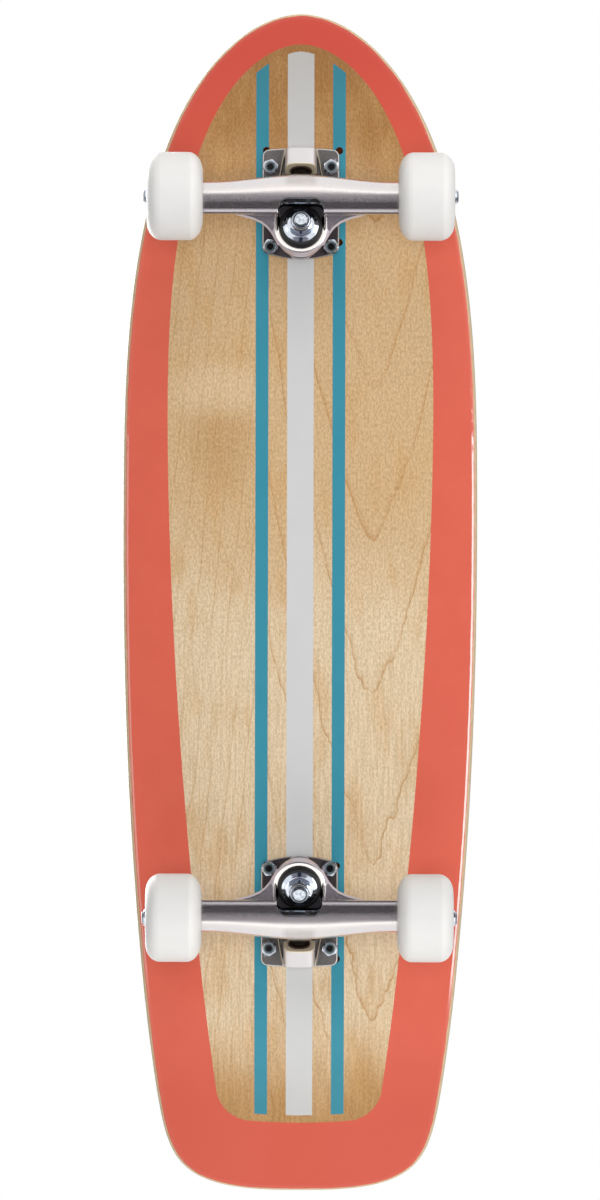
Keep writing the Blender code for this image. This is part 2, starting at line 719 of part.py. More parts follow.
def pivot_cup_mesh():
    """The plastic cup that the hanger's pin turns in."""
    outer = PIVOT_BORE_RADIUS - SEAT_GAP
    inner = outer - PIVOT_CUP_WALL
    bottom = -PIVOT_BORE_DEPTH + SEAT_GAP
    profile = [
        (0.0, bottom + 1.4),
        (inner - 2.0, bottom + 1.6),
        (inner, bottom + 3.4),
        (inner, PIVOT_MOUTH + 0.6),
        (outer, PIVOT_MOUTH + 0.6),
        (outer, bottom),
        (0.0, bottom),
    ]
    return moved(turned(profile, SHAFT_SIDES), STEERING_FRAME)


def kingpin_mesh():
    """The kingpin, with its round pressed head and a domed end."""
    head_end = KINGPIN_HEAD_START + KINGPIN_HEAD_HEIGHT
    profile = [
        (0.0, KINGPIN_END),
        (KINGPIN_RADIUS * 0.6, KINGPIN_END - 0.3),
        (KINGPIN_RADIUS, KINGPIN_END - 1.4),
        (KINGPIN_RADIUS, head_end),
        (KINGPIN_HEAD_RADIUS, head_end),
        (KINGPIN_HEAD_RADIUS, KINGPIN_HEAD_START),
        (0.0, KINGPIN_HEAD_START),
    ]
    return moved(turned(profile, SHAFT_SIDES), KINGPIN_FRAME)


def washer_mesh(start, radius, dish):
    """A cup washer, a shallow cone of sheet steel."""
    bore = KINGPIN_RADIUS + SEAT_GAP
    end = start + CUP_WASHER_THICKNESS
    flat = radius * 0.7
    profile = [
        (bore, end),
        (flat, end),
        (radius, end - dish),
        (radius, start),
        (bore, start),
    ]
    return moved(turned(profile, LARGE_SIDES), KINGPIN_FRAME)


def bushing_mesh(start, height, radius, rounding):
    """A urethane bushing, its free edge rounded."""
    bore = KINGPIN_RADIUS + SEAT_GAP * 2
    end = start + height
    profile = [
        (bore, end),
        (radius - rounding, end),
        (radius - rounding * 0.3, end - rounding * 0.3),
        (radius, end - rounding),
        (radius, start),
        (bore, start),
    ]
    return moved(turned(profile, LARGE_SIDES), KINGPIN_FRAME)


def bar_section(across):
    """The hanger's bar in section, a distance across from the truck's middle."""
    count = 14
    share = min(abs(across) / BULGE_REACH, 1.0)
    swell = math.cos(math.pi / 2 * share) ** 2
    outer = BAR_RADIUS + BULGE_OUTWARD * swell
    deckward = BAR_RADIUS + BULGE_DOWN * swell
    points = []
    for step in range(count):
        turn = 2 * math.pi * step / count
        cosine = math.cos(turn)
        sine = math.sin(turn)
        along = math.copysign(abs(cosine) ** (2 / BAR_SECTION_POWER), cosine)
        down = math.copysign(abs(sine) ** (2 / BAR_SECTION_POWER), sine)
        along *= outer if cosine > 0 else BAR_RADIUS
        down *= BAR_RADIUS if sine > 0 else deckward
        points.append((AXLE_OUTWARD + along, across, AXLE_DROP + down))
    return points


def bar_mesh():
    """The hanger's bar, lofted through its sections."""
    stations = [share * HANGER_END for share in (1.0, 0.88, 0.72, 0.56, 0.4, 0.24, 0.08)]
    stations += [-distance for distance in reversed(stations)]
    bm = bmesh.new()
    rings = []
    for across in stations:
        rings.append([bm.verts.new(Vector(point) * MM) for point in bar_section(across)])
    for first, second in zip(rings, rings[1:]):
        for index in range(len(first)):
            follow = (index + 1) % len(first)
            bm.faces.new((first[index], first[follow], second[follow], second[index]))
    bm.faces.new(rings[0])
    bm.faces.new(list(reversed(rings[-1])))
    mesh = bpy.data.meshes.new("bar")
    bm.to_mesh(mesh)
    bm.free()
    return outward(mesh)


def hanger_body():
    """The tapering middle of the hanger, from the bar to the pivot pin and the ring."""
    points = ring_points(STEERING_FRAME, PIVOT_MOUTH + 4.5, 7.2, SHAFT_SIDES)
    points += ring_points(STEERING_FRAME, PIVOT_MOUTH + 12.0, 9.0, SHAFT_SIDES)
    points += ring_points(STEERING_FRAME, PIVOT_MOUTH + 28.0, 8.5, SHAFT_SIDES)
    for side in (1, -1):
        across = side * BODY_HALF_WIDTH
        points.append((AXLE_OUTWARD + BAR_RADIUS, across, AXLE_DROP - 5.0))
        points.append((AXLE_OUTWARD + BAR_RADIUS - 3.0, across, AXLE_DROP))
        points.append((AXLE_OUTWARD - BAR_RADIUS + 3.0, across, AXLE_DROP))
        points.append((AXLE_OUTWARD - BAR_RADIUS, across, AXLE_DROP - 10.0))
    return hull(points)


def hanger_mesh():
    """The hanger: one casting of bar, body, pivot pin, webs and bushing ring."""
    pin = [
        (0.0, PIVOT_MOUTH + 10.0),
        (PIVOT_PIN_RADIUS, PIVOT_MOUTH + 10.0),
        (PIVOT_PIN_RADIUS, 0.0),
        (PIVOT_PIN_RADIUS * 0.86, -1.7),
        (PIVOT_PIN_RADIUS * 0.4, -2.2),
        (0.0, -2.3),
    ]
    ring = [
        (0.0, RING_RIM),
        (RING_OUTER_RADIUS - 0.8, RING_RIM),
        (RING_OUTER_RADIUS, RING_RIM - 0.8),
        (RING_OUTER_RADIUS, RING_START + 4.0),
        (RING_OUTER_RADIUS - 1.5, RING_START - 1.0),
        (0.0, RING_START - 1.0),
    ]
    web_top = AXLE_DROP - WEB_TOP_BELOW_AXLE
    web_half = [(y, x) for y, x in WEB_OUTLINE]
    web = [(x, y) for y, x in web_half] + [(x, -y) for y, x in reversed(web_half)]
    pieces = [
        hanger_body(),
        moved(turned(pin, SHAFT_SIDES), STEERING_FRAME),
        moved(turned(ring, LARGE_SIDES), KINGPIN_FRAME),
        prism(web, web_top - WEB_THICKNESS, web_top),
    ]
    solid = combined(bar_mesh(), pieces, "UNION")
    cup_radius = ROAD_BUSHING_RADIUS + SEAT_GAP
    cup = [
        (0.0, KINGPIN_END + 12.0),
        (cup_radius, KINGPIN_END + 12.0),
        (cup_radius, RING_FLOOR_END),
        (0.0, RING_FLOOR_END),
    ]
    pocket_x = AXLE_OUTWARD - AXLE_HOLE_RADIUS - POCKET_WALL_TO_AXLE
    pocket = cut_off(
        moved(turned(cup, LARGE_SIDES), KINGPIN_FRAME), (pocket_x, 0.0, 0.0), (1.0, 0.0, 0.0)
    )
    seat_radius = BOARD_BUSHING_RADIUS + SEAT_GAP
    clear_radius = RING_OUTER_RADIUS - 1.0
    below = [
        (0.0, RING_FLOOR_END + 1.0),
        (RING_HOLE_RADIUS, RING_FLOOR_END + 1.0),
        (RING_HOLE_RADIUS, RING_FLOOR_START),
        (seat_radius, RING_FLOOR_START),
        (seat_radius, RING_START),
        (clear_radius, RING_START),
        (clear_radius, 0.0),
        (0.0, 0.0),
    ]
    axle_hole = [
        (0.0, HANGER_END + 1.0),
        (AXLE_HOLE_RADIUS, HANGER_END + 1.0),
        (AXLE_HOLE_RADIUS, -HANGER_END - 1.0),
        (0.0, -HANGER_END - 1.0),
    ]
    cutters = [
        pocket,
        moved(turned(below, LARGE_SIDES), KINGPIN_FRAME),
        moved(turned(axle_hole, SHAFT_SIDES), axle_frame(0.0, 1)),
    ]
    return combined(solid, cutters, "DIFFERENCE")


def axle_mesh():
    """The steel axle, right through the hanger, its ends chamfered."""
    profile = [
        (0.0, AXLE_HALF),
        (AXLE_RADIUS - 0.8, AXLE_HALF),
        (AXLE_RADIUS, AXLE_HALF - 0.8),
        (AXLE_RADIUS, 0.8 - AXLE_HALF),
        (AXLE_RADIUS - 0.8, -AXLE_HALF),
        (0.0, -AXLE_HALF),
    ]
    return moved(turned(profile, SHAFT_SIDES), axle_frame(0.0, 1))


def arc(middle, half_axes, start, end, steps):
    """Points along an elliptical arc, as (radius, height)."""
    points = []
    for step in range(steps + 1):
        turn = start + (end - start) * step / steps
        radius = middle[0] + half_axes[0] * math.sin(turn)
        height = middle[1] + half_axes[1] * math.cos(turn)
        points.append((radius, height))
    return points


def wheel_mesh():
    """A wheel turned about its axle, outer face up, with a seat for each bearing."""
    half = WHEEL_WIDTH / 2
    tread = WHEEL_TREAD / 2
    rim = WHEEL_RADIUS / math.cos(math.pi / WHEEL_SIDES)
    seat = BEARING_RADIUS + SEAT_GAP
    ridge = BEARING_SPACING / 2 - SEAT_GAP
    seat_end = BEARING_SPACING / 2 + BEARING_WIDTH
    outer_lip = WHEEL_OUTER_LIP_RADIUS
    inner_lip = WHEEL_INNER_LIP_RADIUS
    profile = arc((outer_lip, tread), (rim - outer_lip, half - tread), 0.0, math.pi / 2, 3)
    profile += arc(
        (inner_lip, -tread), (rim - inner_lip, half - tread), math.pi / 2, math.pi, 3
    )
    profile += [
        (WHEEL_RECESS_RADIUS, -half + 1.0),
        (seat, -seat_end),
        (seat, -ridge),
        (WHEEL_HUB_RIDGE_RADIUS, -ridge),
        (WHEEL_HUB_RIDGE_RADIUS, ridge),
        (seat, ridge),
        (seat, seat_end),
        (WHEEL_RECESS_RADIUS + 1.5, half - 1.0),
    ]
    return turned(profile, WHEEL_SIDES, half_step=True)


def bearing_mesh(shield_shows):
    """A ball bearing as one ring. Where its outward side shows, the shield is sunk there."""
    profile = [(AXLE_HOLE_RADIUS, BEARING_WIDTH)]
    if shield_shows:
        profile += [
            (BEARING_SHIELD_INNER, BEARING_WIDTH),
            (BEARING_SHIELD_INNER, BEARING_WIDTH - BEARING_SHIELD_DEPTH),
            (BEARING_SHIELD_OUTER, BEARING_WIDTH - BEARING_SHIELD_DEPTH),
            (BEARING_SHIELD_OUTER, BEARING_WIDTH),
        ]
    profile += [
        (BEARING_RADIUS, BEARING_WIDTH),
        (BEARING_RADIUS, 0.0),
        (AXLE_HOLE_RADIUS, 0.0),
    ]
    return turned(profile, SHAFT_SIDES)


def speed_washer_mesh():
    """The thin washer between the outer bearing and the axle nut."""
    profile = [
        (AXLE_HOLE_RADIUS, SPEED_WASHER_THICKNESS),
        (SPEED_WASHER_RADIUS, SPEED_WASHER_THICKNESS),
        (SPEED_WASHER_RADIUS, 0.0),
        (AXLE_HOLE_RADIUS, 0.0),
    ]
    return turned(profile, SHAFT_SIDES)


class Board:
    """Places finished meshes in the collection, under the empties that carry them."""

    def __init__(self, collection):
        self.collection = collection
        self.world = {}

    def empty(self, name, world, parent=None):
        item = bpy.data.objects.new(name, None)
        item.empty_display_size = 0.02
        return self.put(item, world, parent)

    def piece(self, name, mesh, finish, world=Matrix(), parent=None):
        item = bpy.data.objects.new(name, mesh)
        if not mesh.materials:
            mesh.materials.append(finish)
        mesh.shade_smooth()
        mesh.set_sharp_from_angle(angle=math.radians(35.0))
        return self.put(item, world, parent)

    def put(self, item, world, parent):
        self.collection.objects.link(item)
        self.world[item.name] = world.copy()
        if parent:
            item.parent = parent
            item.matrix_local = self.world[parent.name].inverted() @ world
        else:
            item.matrix_world = world
        return item


def truck_meshes():
    """Every mesh of a truck, made once and shared by both trucks."""
    inverse = STEERING_FRAME.inverted()
    return {
        "baseplate": baseplate_mesh(),
        "pivot_cup": pivot_cup_mesh(),
        "kingpin": kingpin_mesh(),
        "board_washer": washer_mesh(BOARD_WASHER_START, BOARD_WASHER_RADIUS, 0.5),
        "board_bushing": bushing_mesh(
            BOARD_BUSHING_START, BOARD_BUSHING_HEIGHT, BOARD_BUSHING_RADIUS, 0.8
        ),
        "road_bushing": bushing_mesh(
            ROAD_BUSHING_START, ROAD_BUSHING_HEIGHT, ROAD_BUSHING_RADIUS, 2.0
        ),
        "road_washer": washer_mesh(ROAD_WASHER_START, ROAD_WASHER_RADIUS, 0.9),
        "kingpin_nut": lock_nut_mesh(
            KINGPIN_NUT_ACROSS,
            KINGPIN_NUT_HEX_HEIGHT,
            KINGPIN_NUT_COLLAR_RADIUS,
            KINGPIN_NUT_COLLAR_HEIGHT,
            KINGPIN_RADIUS + SEAT_GAP,
            SHAFT_SIDES,
        ),
        "hanger": moved(hanger_mesh(), inverse),
        "axle": moved(axle_mesh(), inverse),
        "bolt": bolt_mesh(),
        "nut": lock_nut_mesh(
            NUT_ACROSS_FLATS,
            NUT_HEX_HEIGHT,
            NUT_COLLAR_RADIUS,
            NUT_COLLAR_HEIGHT,
            BOLT_RADIUS + SEAT_GAP,
            BOLT_SIDES,
        ),
        "wheel": wheel_mesh(),
        "inner_bearing": bearing_mesh(False),
        "outer_bearing": bearing_mesh(True),
        "speed_washer": speed_washer_mesh(),
        "axle_nut": lock_nut_mesh(
            AXLE_NUT_ACROSS,
            AXLE_NUT_HEX_HEIGHT,
            AXLE_NUT_COLLAR_RADIUS,
            AXLE_NUT_COLLAR_HEIGHT,
            AXLE_RADIUS + SEAT_GAP,
            SHAFT_SIDES,
        ),
    }


def build_truck(board, name, truck, meshes, finishes):
    """One truck with its fasteners and its two wheels."""
    mount = board.empty(f"{name}_truck_mount", truck)
    for part, finish in (
        ("baseplate", "cast"),
        ("pivot_cup", "cup"),
        ("kingpin", "steel"),
        ("board_washer", "steel"),
        ("board_bushing", "bushing"),
        ("road_bushing", "bushing"),
        ("road_washer", "steel"),
    ):
        board.piece(f"{name}_{part}", meshes[part], finishes[finish], truck, mount)
    nut_place = truck @ KINGPIN_FRAME @ shifted(0.0, 0.0, KINGPIN_NUT_START)
    board.piece(f"{name}_kingpin_nut", meshes["kingpin_nut"], finishes["steel"], nut_place, mount)

    for index, (x, y) in enumerate(bolt_places(), start=1):
        head = truck @ shifted(x, y, -DECK_THICKNESS + SEAT_GAP)
        board.piece(f"{name}_bolt_{index}", meshes["bolt"], finishes["black"], head, mount)
        turn = Matrix.Rotation(math.radians(17.0 * index), 4, "Z")
        seat = truck @ shifted(x, y, PLATE_FACE + SEAT_GAP) @ turn
        board.piece(f"{name}_nut_{index}", meshes["nut"], finishes["steel"], seat, mount)

    steering = truck @ STEERING_FRAME
    pivot = board.empty(f"{name}_steering_axis", steering, mount)
    board.piece(f"{name}_hanger", meshes["hanger"], finishes["hanger"], steering, pivot)
    board.piece(f"{name}_axle", meshes["axle"], finishes["steel"], steering, pivot)
    for side in (1, -1):
        left = (truck @ Vector((0.0, side, 0.0))).y > 0
        prefix = f"{name}_left" if left else f"{name}_right"
        for part, distance, finish in (
            ("wheel", WHEEL_MIDDLE, "wheel"),
            ("speed_washer", SPEED_WASHER_START, "steel"),
            ("axle_nut", AXLE_NUT_START, "steel"),
        ):
            place = truck @ axle_frame(distance, side)
            board.piece(f"{prefix}_{part}", meshes[part], finishes[finish], place, pivot)
        for part, distance in (
            ("inner_bearing", INNER_BEARING_START),
            ("outer_bearing", OUTER_BEARING_START),
        ):
            place = truck @ axle_frame(distance, side)
            board.piece(f"{prefix}_{part}", meshes[part], finishes["steel"], place, pivot)


def build():
    """The whole board."""
    board = Board(start_clean())
    finishes = {
        "wood": material("clear_maple", (0.56, 0.35, 0.16), 0.25, 0.0),
        "grip": material("grip_tape", (0.02, 0.02, 0.02), 0.95, 0.0),
        "cast": material("rough_cast_aluminium", (0.22, 0.21, 0.21), 0.55, 0.9),
        "hanger": material("satin_cast_aluminium", (0.6, 0.58, 0.57), 0.38, 1.0),
        "steel": material("zinc_plated_steel", (0.72, 0.75, 0.78), 0.2, 1.0),
        "black": material("black_steel", (0.03, 0.03, 0.03), 0.4, 1.0),
        "bushing": material("black_urethane", (0.015, 0.015, 0.015), 0.45, 0.0),
        "cup": material("brown_plastic", (0.07, 0.045, 0.03), 0.5, 0.0),
        "wheel": material("white_urethane", (0.8, 0.79, 0.77), 0.35, 0.0),
    }
    board.piece("deck", deck_mesh(), finishes["wood"])
    board.piece("grip_tape", grip_mesh(), finishes["grip"])
    meshes = truck_meshes()
    front_turn = Matrix.Diagonal((1.0, -1.0, -1.0, 1.0))
    rear_turn = Matrix.Diagonal((-1.0, 1.0, -1.0, 1.0))
    front = shifted(FRONT_TRUCK_X, 0.0, DECK_UNDERSIDE) @ front_turn
    rear = shifted(REAR_TRUCK_X, 0.0, DECK_UNDERSIDE) @ rear_turn
    build_truck(board, "front", front, meshes, finishes)
    build_truck(board, "rear", rear, meshes, finishes)


build()
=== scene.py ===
"""Cruiser skateboard seen from below: the looks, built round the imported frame.

Sizes are in millimetres unless a line says otherwise, colours are screen values from 0 to
255. X runs to the nose, Y to the rider's left and Z up.
"""

import math

import bmesh
import bpy
import numpy as np
from mathutils import Matrix, Vector


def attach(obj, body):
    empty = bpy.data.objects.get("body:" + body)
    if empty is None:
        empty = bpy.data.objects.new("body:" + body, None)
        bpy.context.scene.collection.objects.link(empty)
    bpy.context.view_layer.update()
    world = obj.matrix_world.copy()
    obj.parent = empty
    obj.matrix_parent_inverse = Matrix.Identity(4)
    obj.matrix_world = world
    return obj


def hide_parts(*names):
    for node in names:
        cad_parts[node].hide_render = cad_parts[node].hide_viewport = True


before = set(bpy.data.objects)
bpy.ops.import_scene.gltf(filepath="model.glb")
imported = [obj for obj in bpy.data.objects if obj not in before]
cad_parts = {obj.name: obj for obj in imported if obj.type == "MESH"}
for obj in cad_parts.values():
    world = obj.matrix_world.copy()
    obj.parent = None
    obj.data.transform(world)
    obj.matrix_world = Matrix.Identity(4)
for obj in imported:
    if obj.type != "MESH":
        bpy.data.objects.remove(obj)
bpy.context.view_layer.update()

# The deck is one board of seven maple veneers, glued and pressed with a kicktail and a mild
# concave, then sawn, its rails rounded over and its bolt holes drilled. The underside is
# sprayed through stencils, border and stripes, and the whole board is lacquered.
MM = 0.001
DECK_THICKNESS = 11.0
RAIL_ROUNDING = 3.0
DECK_WIDTH = 241.0
DECK_UNDERSIDE = 82.5
WIDEST_X = 53.4
BLANK_NOSE_X = 403.64
BLANK_TAIL_X = -407.74
FRONT_TRUCK_X = 268.9
REAR_TRUCK_X = -206.1
TAIL_BEND = (-258.1, 150, 17)  # where it starts, its radius and its degrees
NOSE_BEND = (318.9, 180, 11)
TAIL_NARROWING = (24.4, 397, 2.2)  # how much, over what length, and the curve's power
TAIL_SQUARENESS = 30
CONCAVE_RISE = 7
FLAT_MIDDLE = 36  # from the middle line to where the rails start to rise
BOLT_SPOTS = [(along, across) for along in (26.99, -26.99) for across in (20.64, -20.64)]
SPARE_HOLES = [(307.8, 26.1), (245.6, 26.1), (307.8, -23.3), (-240.9, 25.1), (-177.9, 25.1)]
VENEERS = 7


def work_object(mesh):
    item = bpy.data.objects.new("work", mesh)
    bpy.context.scene.collection.objects.link(item)
    return item


def with_modifiers(mesh, *steps):
    """The mesh after modifiers, each given as its kind and its settings."""
    item = work_object(mesh)
    for kind, settings in steps:
        step = item.modifiers.new(kind, kind)
        for name, value in settings.items():
            setattr(step, name, value)
    bpy.context.view_layer.update()
    graph = bpy.context.evaluated_depsgraph_get()
    made = bpy.data.meshes.new_from_object(item.evaluated_get(graph))
    bpy.data.objects.remove(item, do_unlink=True)
    return made


def cleaned(mesh):
    bm = bmesh.new()
    bm.from_mesh(mesh)
    bmesh.ops.remove_doubles(bm, verts=bm.verts, dist=0.002 * MM)
    bmesh.ops.dissolve_degenerate(bm, edges=bm.edges, dist=0.001 * MM)
    bmesh.ops.recalc_face_normals(bm, faces=bm.faces)
    bm.to_mesh(mesh)
    bm.free()
    return mesh


def closed(bm, mesh):
    """The mesh with what was worked out in bmesh, cleaned."""
    bm.to_mesh(mesh)
    bm.free()
    return cleaned(mesh)


def joined(base, tools, operation):
    """A mesh united with, or cut by, other meshes."""
    helpers = [work_object(tool) for tool in tools]
    cut = {"operation": operation, "solver": "EXACT"}
    made = with_modifiers(base, *(("BOOLEAN", {**cut, "object": helper}) for helper in helpers))
    for helper in helpers:
        bpy.data.objects.remove(helper, do_unlink=True)
    return cleaned(made)


def grid_mesh(rows, wrap_rows):
    """Quads through rows of points, each row closed on itself. Rows are in millimetres."""
    rows = np.array(rows)
    count, around = rows.shape[:2]
    faces = []
    for row in range(count if wrap_rows else count - 1):
        here, after = row * around, (row + 1) % count * around
        for step in range(around):
            beside = (step + 1) % around
            faces.append((here + step, here + beside, after + beside, after + step))
    mesh = bpy.data.meshes.new("grid")
    mesh.from_pydata((rows.reshape(-1, 3) * MM).tolist(), [], faces)
    return cleaned(mesh)


def filleted(profile):
    """Points (across, up), with each corner that carries a third number rounded to it."""
    made = []
    for index, (across, up, *radius) in enumerate(profile):
        here = np.array((across, up), float)
        if not radius:
            made.append(here)
            continue
        before = np.array(profile[index - 1][:2], float) - here
        after = np.array(profile[(index + 1) % len(profile)][:2], float) - here
        before /= np.linalg.norm(before)
        after /= np.linalg.norm(after)
        half = math.acos(np.clip(before @ after, -1, 1)) / 2
        reach = radius[0] / math.tan(half)
        middle = here + (before + after) / np.linalg.norm(before + after) * (
            radius[0] / math.sin(half)
        )
        arm_x, arm_y = here + before * reach - middle
        sweep = math.pi - 2 * half
        sign = math.copysign(1, arm_x * (here - middle)[1] - arm_y * (here - middle)[0])
        steps = max(3, round(sweep / math.radians(18)))
        for step in range(steps + 1):
            turn = sign * sweep * step / steps
            cosine, sine = math.cos(turn), math.sin(turn)
            made.append(middle + (arm_x * cosine - arm_y * sine, arm_x * sine + arm_y * cosine))
    return made


def full_turn(count):
    """Evenly spaced angles round a circle."""
    return 2 * math.pi * np.arange(count) / count


def ring_row(turns, radius, height):
    """Points at some angles round Z, the radius and the height one number or one for each."""
    return np.stack([radius * np.cos(turns), radius * np.sin(turns), height + 0 * turns], 1)


def turned(profile, sides=72):
    """A solid turned about Z from (radius, height) points that run once round its section.

    A profile whose first and last points are on the axis is solid; any other is a ring.
    """
    turns = full_turn(sides)
    rows = [ring_row(turns, radius, height) for radius, height in filleted(profile)]
    return grid_mesh(rows, profile[0][0] > 0)


def plug(radius, low, high, sides=72):
    """A plain rod about Z, to cut a hole with."""
    return turned([(0, high), (radius, high), (radius, low), (0, low)], sides)


def outline_points(count):
    """The blank's outline, evenly spaced: a superellipse nose and a squarish tail."""
    half = DECK_WIDTH / 2
    turn = np.linspace(math.pi / 2, 0, 1500)
    nose_x = WIDEST_X + (BLANK_NOSE_X - WIDEST_X) * np.sin(turn) ** (2 / 2.95)
    nose_y = half * np.maximum(np.cos(turn), 0) ** (2 / 1.87)
    corner_share = 0.86
    corner_start = math.asin(corner_share ** (TAIL_SQUARENESS / 2))
    corners = np.sin(np.linspace(corner_start, math.pi / 2, 1500)) ** (2 / TAIL_SQUARENESS)
    share = np.concatenate([np.linspace(0, corner_share, 1000), corners])
    back = share * (WIDEST_X - BLANK_TAIL_X)
    most, reach, power = TAIL_NARROWING
    narrowing = most * (back / reach) ** power
    body_y = (half - narrowing) * np.maximum(1 - share**TAIL_SQUARENESS, 0) ** 0.36
    side = np.concatenate(
        [np.stack([nose_x, nose_y], 1)[:-1], np.stack([WIDEST_X - back, body_y], 1)]
    )
    side[0, 1] = 0
    side[-1, 1] = 0
    whole = np.concatenate([side, side[-2::-1] * (1, -1)])
    length = np.concatenate([[0], np.cumsum(np.linalg.norm(np.diff(whole, axis=0), axis=1))])
    even = np.linspace(0, length[-1], count + 1)[:-1]
    return np.stack([np.interp(even, length, whole[:, axis]) for axis in (0, 1)], 1)


def sawn_sheet(inset, low, high, rounding):
    """A flat sheet of the board's outline, drawn in by an inset, its edges rounded over."""
    outline = outline_points(480)
    along = np.roll(outline, -1, 0) - np.roll(outline, 1, 0)
    inward = np.stack([-along[:, 1], along[:, 0]], 1)
    inward /= np.linalg.norm(inward, axis=1)[:, None]
    spine = np.stack([np.clip(outline[:, 0], -330, 318), np.zeros(len(outline))], 1)

    def row(depth, height, share=0):
        """The outline drawn in by a depth, then by a share of the way to the spine."""
        flat = (outline + inward * (inset + depth)) * (1 - share) + spine * share
        return np.column_stack([flat, np.full(len(flat), height)])

    shares = np.linspace(1, 0, 15)
    turns = np.linspace(0, math.pi / 2, 7)
    depths = [depth for depth in (6.5, 4.6) if depth > rounding]
    rows = [row(9, low, share) for share in shares]
    rows += [row(depth, low) for depth in depths]
    rows += [
        row(rounding * (1 - math.sin(turn)), low + rounding * (1 - math.cos(turn)))
        for turn in turns
    ]
    rows += [
        row(rounding * (1 - math.cos(turn)), high - rounding * (1 - math.sin(turn)))
        for turn in turns
    ]
    rows += [row(depth, high) for depth in depths[::-1]]
    rows += [row(9, high, share) for share in shares[::-1]]
    return grid_mesh(rows, False)


def moved(x, y, z=0.0):
    return Matrix.Translation(Vector((x, y, z)) * MM)


def seated(mesh, matrix):
    made = mesh.copy()
    made.transform(matrix)
    return made


def bolt_places():
    front = [(FRONT_TRUCK_X + along, across) for along, across in BOLT_SPOTS]
    return front + [(REAR_TRUCK_X - along, across) for along, across in BOLT_SPOTS]


def keep_edge_distance(mesh, outline):
    """Keeps each point's distance from a flat outline as the attribute "edge"."""
    places = np.zeros(len(mesh.vertices) * 3)
    mesh.vertices.foreach_get("co", places)
    places = places.reshape(-1, 3) / MM
    flat = places[:, :2]
    outline = np.array(outline)
    distance = np.full(len(flat), 1e9)
    for start, end in zip(outline, np.roll(outline, -1, 0)):
        way = end - start
        share = np.clip((flat - start) @ way / max(way @ way, 1e-9), 0, 1)
        gap = np.linalg.norm(flat - start - share[:, None] * way, axis=1)
        distance = np.minimum(distance, gap)
    edge = mesh.attributes.new("edge", "FLOAT", "POINT")
    edge.data.foreach_set("value", distance)
    return places


def pressed(mesh):
    """The flat blank pressed to shape. It keeps its flat place, and its distance from the
    sawn edge, as attributes, so that grain, paint and veneers follow the bends."""
    flat = keep_edge_distance(mesh, outline_points(480))
    x, y, height = flat.T
    rise = np.zeros(len(x))
    slope = np.zeros(len(x))
    plan = np.clip(x, TAIL_BEND[0], NOSE_BEND[0])
    for (start, radius, degrees), sign in ((TAIL_BEND, -1), (NOSE_BEND, 1)):
        past = np.maximum(sign * (x - start), 0)
        limit = math.radians(degrees)
        tilt = np.minimum(past / radius, limit)
        straight = np.maximum(past - radius * limit, 0)
        plan += sign * (radius * np.sin(tilt) + straight * np.cos(tilt))
        plan -= sign * height * np.sin(tilt)
        rise += radius * (1 - np.cos(tilt)) + straight * np.sin(tilt)
        slope += tilt
    raised = np.maximum(np.abs(y) - FLAT_MIDDLE, 0) / (DECK_WIDTH / 2 - FLAT_MIDDLE)
    concave = CONCAVE_RISE * raised**2
    up = DECK_UNDERSIDE + rise + concave + height * np.cos(slope)
    mesh.vertices.foreach_set("co", (np.column_stack([plan, y, up]) * MM).ravel())
    blank = mesh.attributes.new("blank", "FLOAT_VECTOR", "POINT")
    blank.data.foreach_set("vector", flat.ravel())
    return mesh


def placed(name, mesh, finish, body, node, world=Matrix(), sharp=38.0):
    """A piece in place of one CAD node: smooth, finished, and riding with its body."""
    if finish.owner.name not in mesh.materials:
        mesh.materials.clear()
        mesh.materials.append(finish.owner)
        mesh.shade_smooth()
        mesh.set_sharp_from_angle(angle=math.radians(sharp))
    piece = bpy.data.objects.new(name, mesh)
    bpy.context.scene.collection.objects.link(piece)
    piece.matrix_world = world
    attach(piece, body)
    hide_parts(node)
    return piece


def tone(red, green, blue):
    """A screen colour as the light values that a shader takes."""
    parts = []
    for value in (red, green, blue):
        share = value / 255
        parts.append(share / 12.92 if share <= 0.04045 else ((share + 0.055) / 1.055) ** 2.4)
    return tuple(parts)


class Wire:
    """A value that varies over a surface. Arithmetic on it adds Math nodes."""

    def __init__(self, finish, socket):
        self.finish = finish
        self.socket = socket

    def math(self, operation, *others):
        sockets = dict(enumerate((self, *others)))
        return self.finish.node("Math", {"operation": operation}, sockets)

    def __add__(self, other):
        return self.math("ADD", other)

    def __sub__(self, other):
        return self.math("SUBTRACT", other)

    def __mul__(self, other):
        return self.math("MULTIPLY", other)

    def __truediv__(self, other):
        return self.math("DIVIDE", other)

    def __pow__(self, other):
        return self.math("POWER", other)

    def __rsub__(self, other):
        return self.finish.node("Math", {"operation": "SUBTRACT"}, {0: other, 1: self})

    def __neg__(self):
        return 0 - self

    def __abs__(self):
        return self.math("ABSOLUTE")

    __radd__ = __add__
    __rmul__ = __mul__

    def above(self, low, high):
        """0 below low, 1 above high, and a smooth step between."""
        sockets = {"Value": self, "From Min": low, "From Max": high}
        return self.finish.node("MapRange", {"interpolation_type": "SMOOTHSTEP"}, sockets)

    def below(self, low, high):
        return 1 - self.above(low, high)

    def most(self, other):
        return self.math("MAXIMUM", other)

    def least(self, other):
        return self.math("MINIMUM", other)


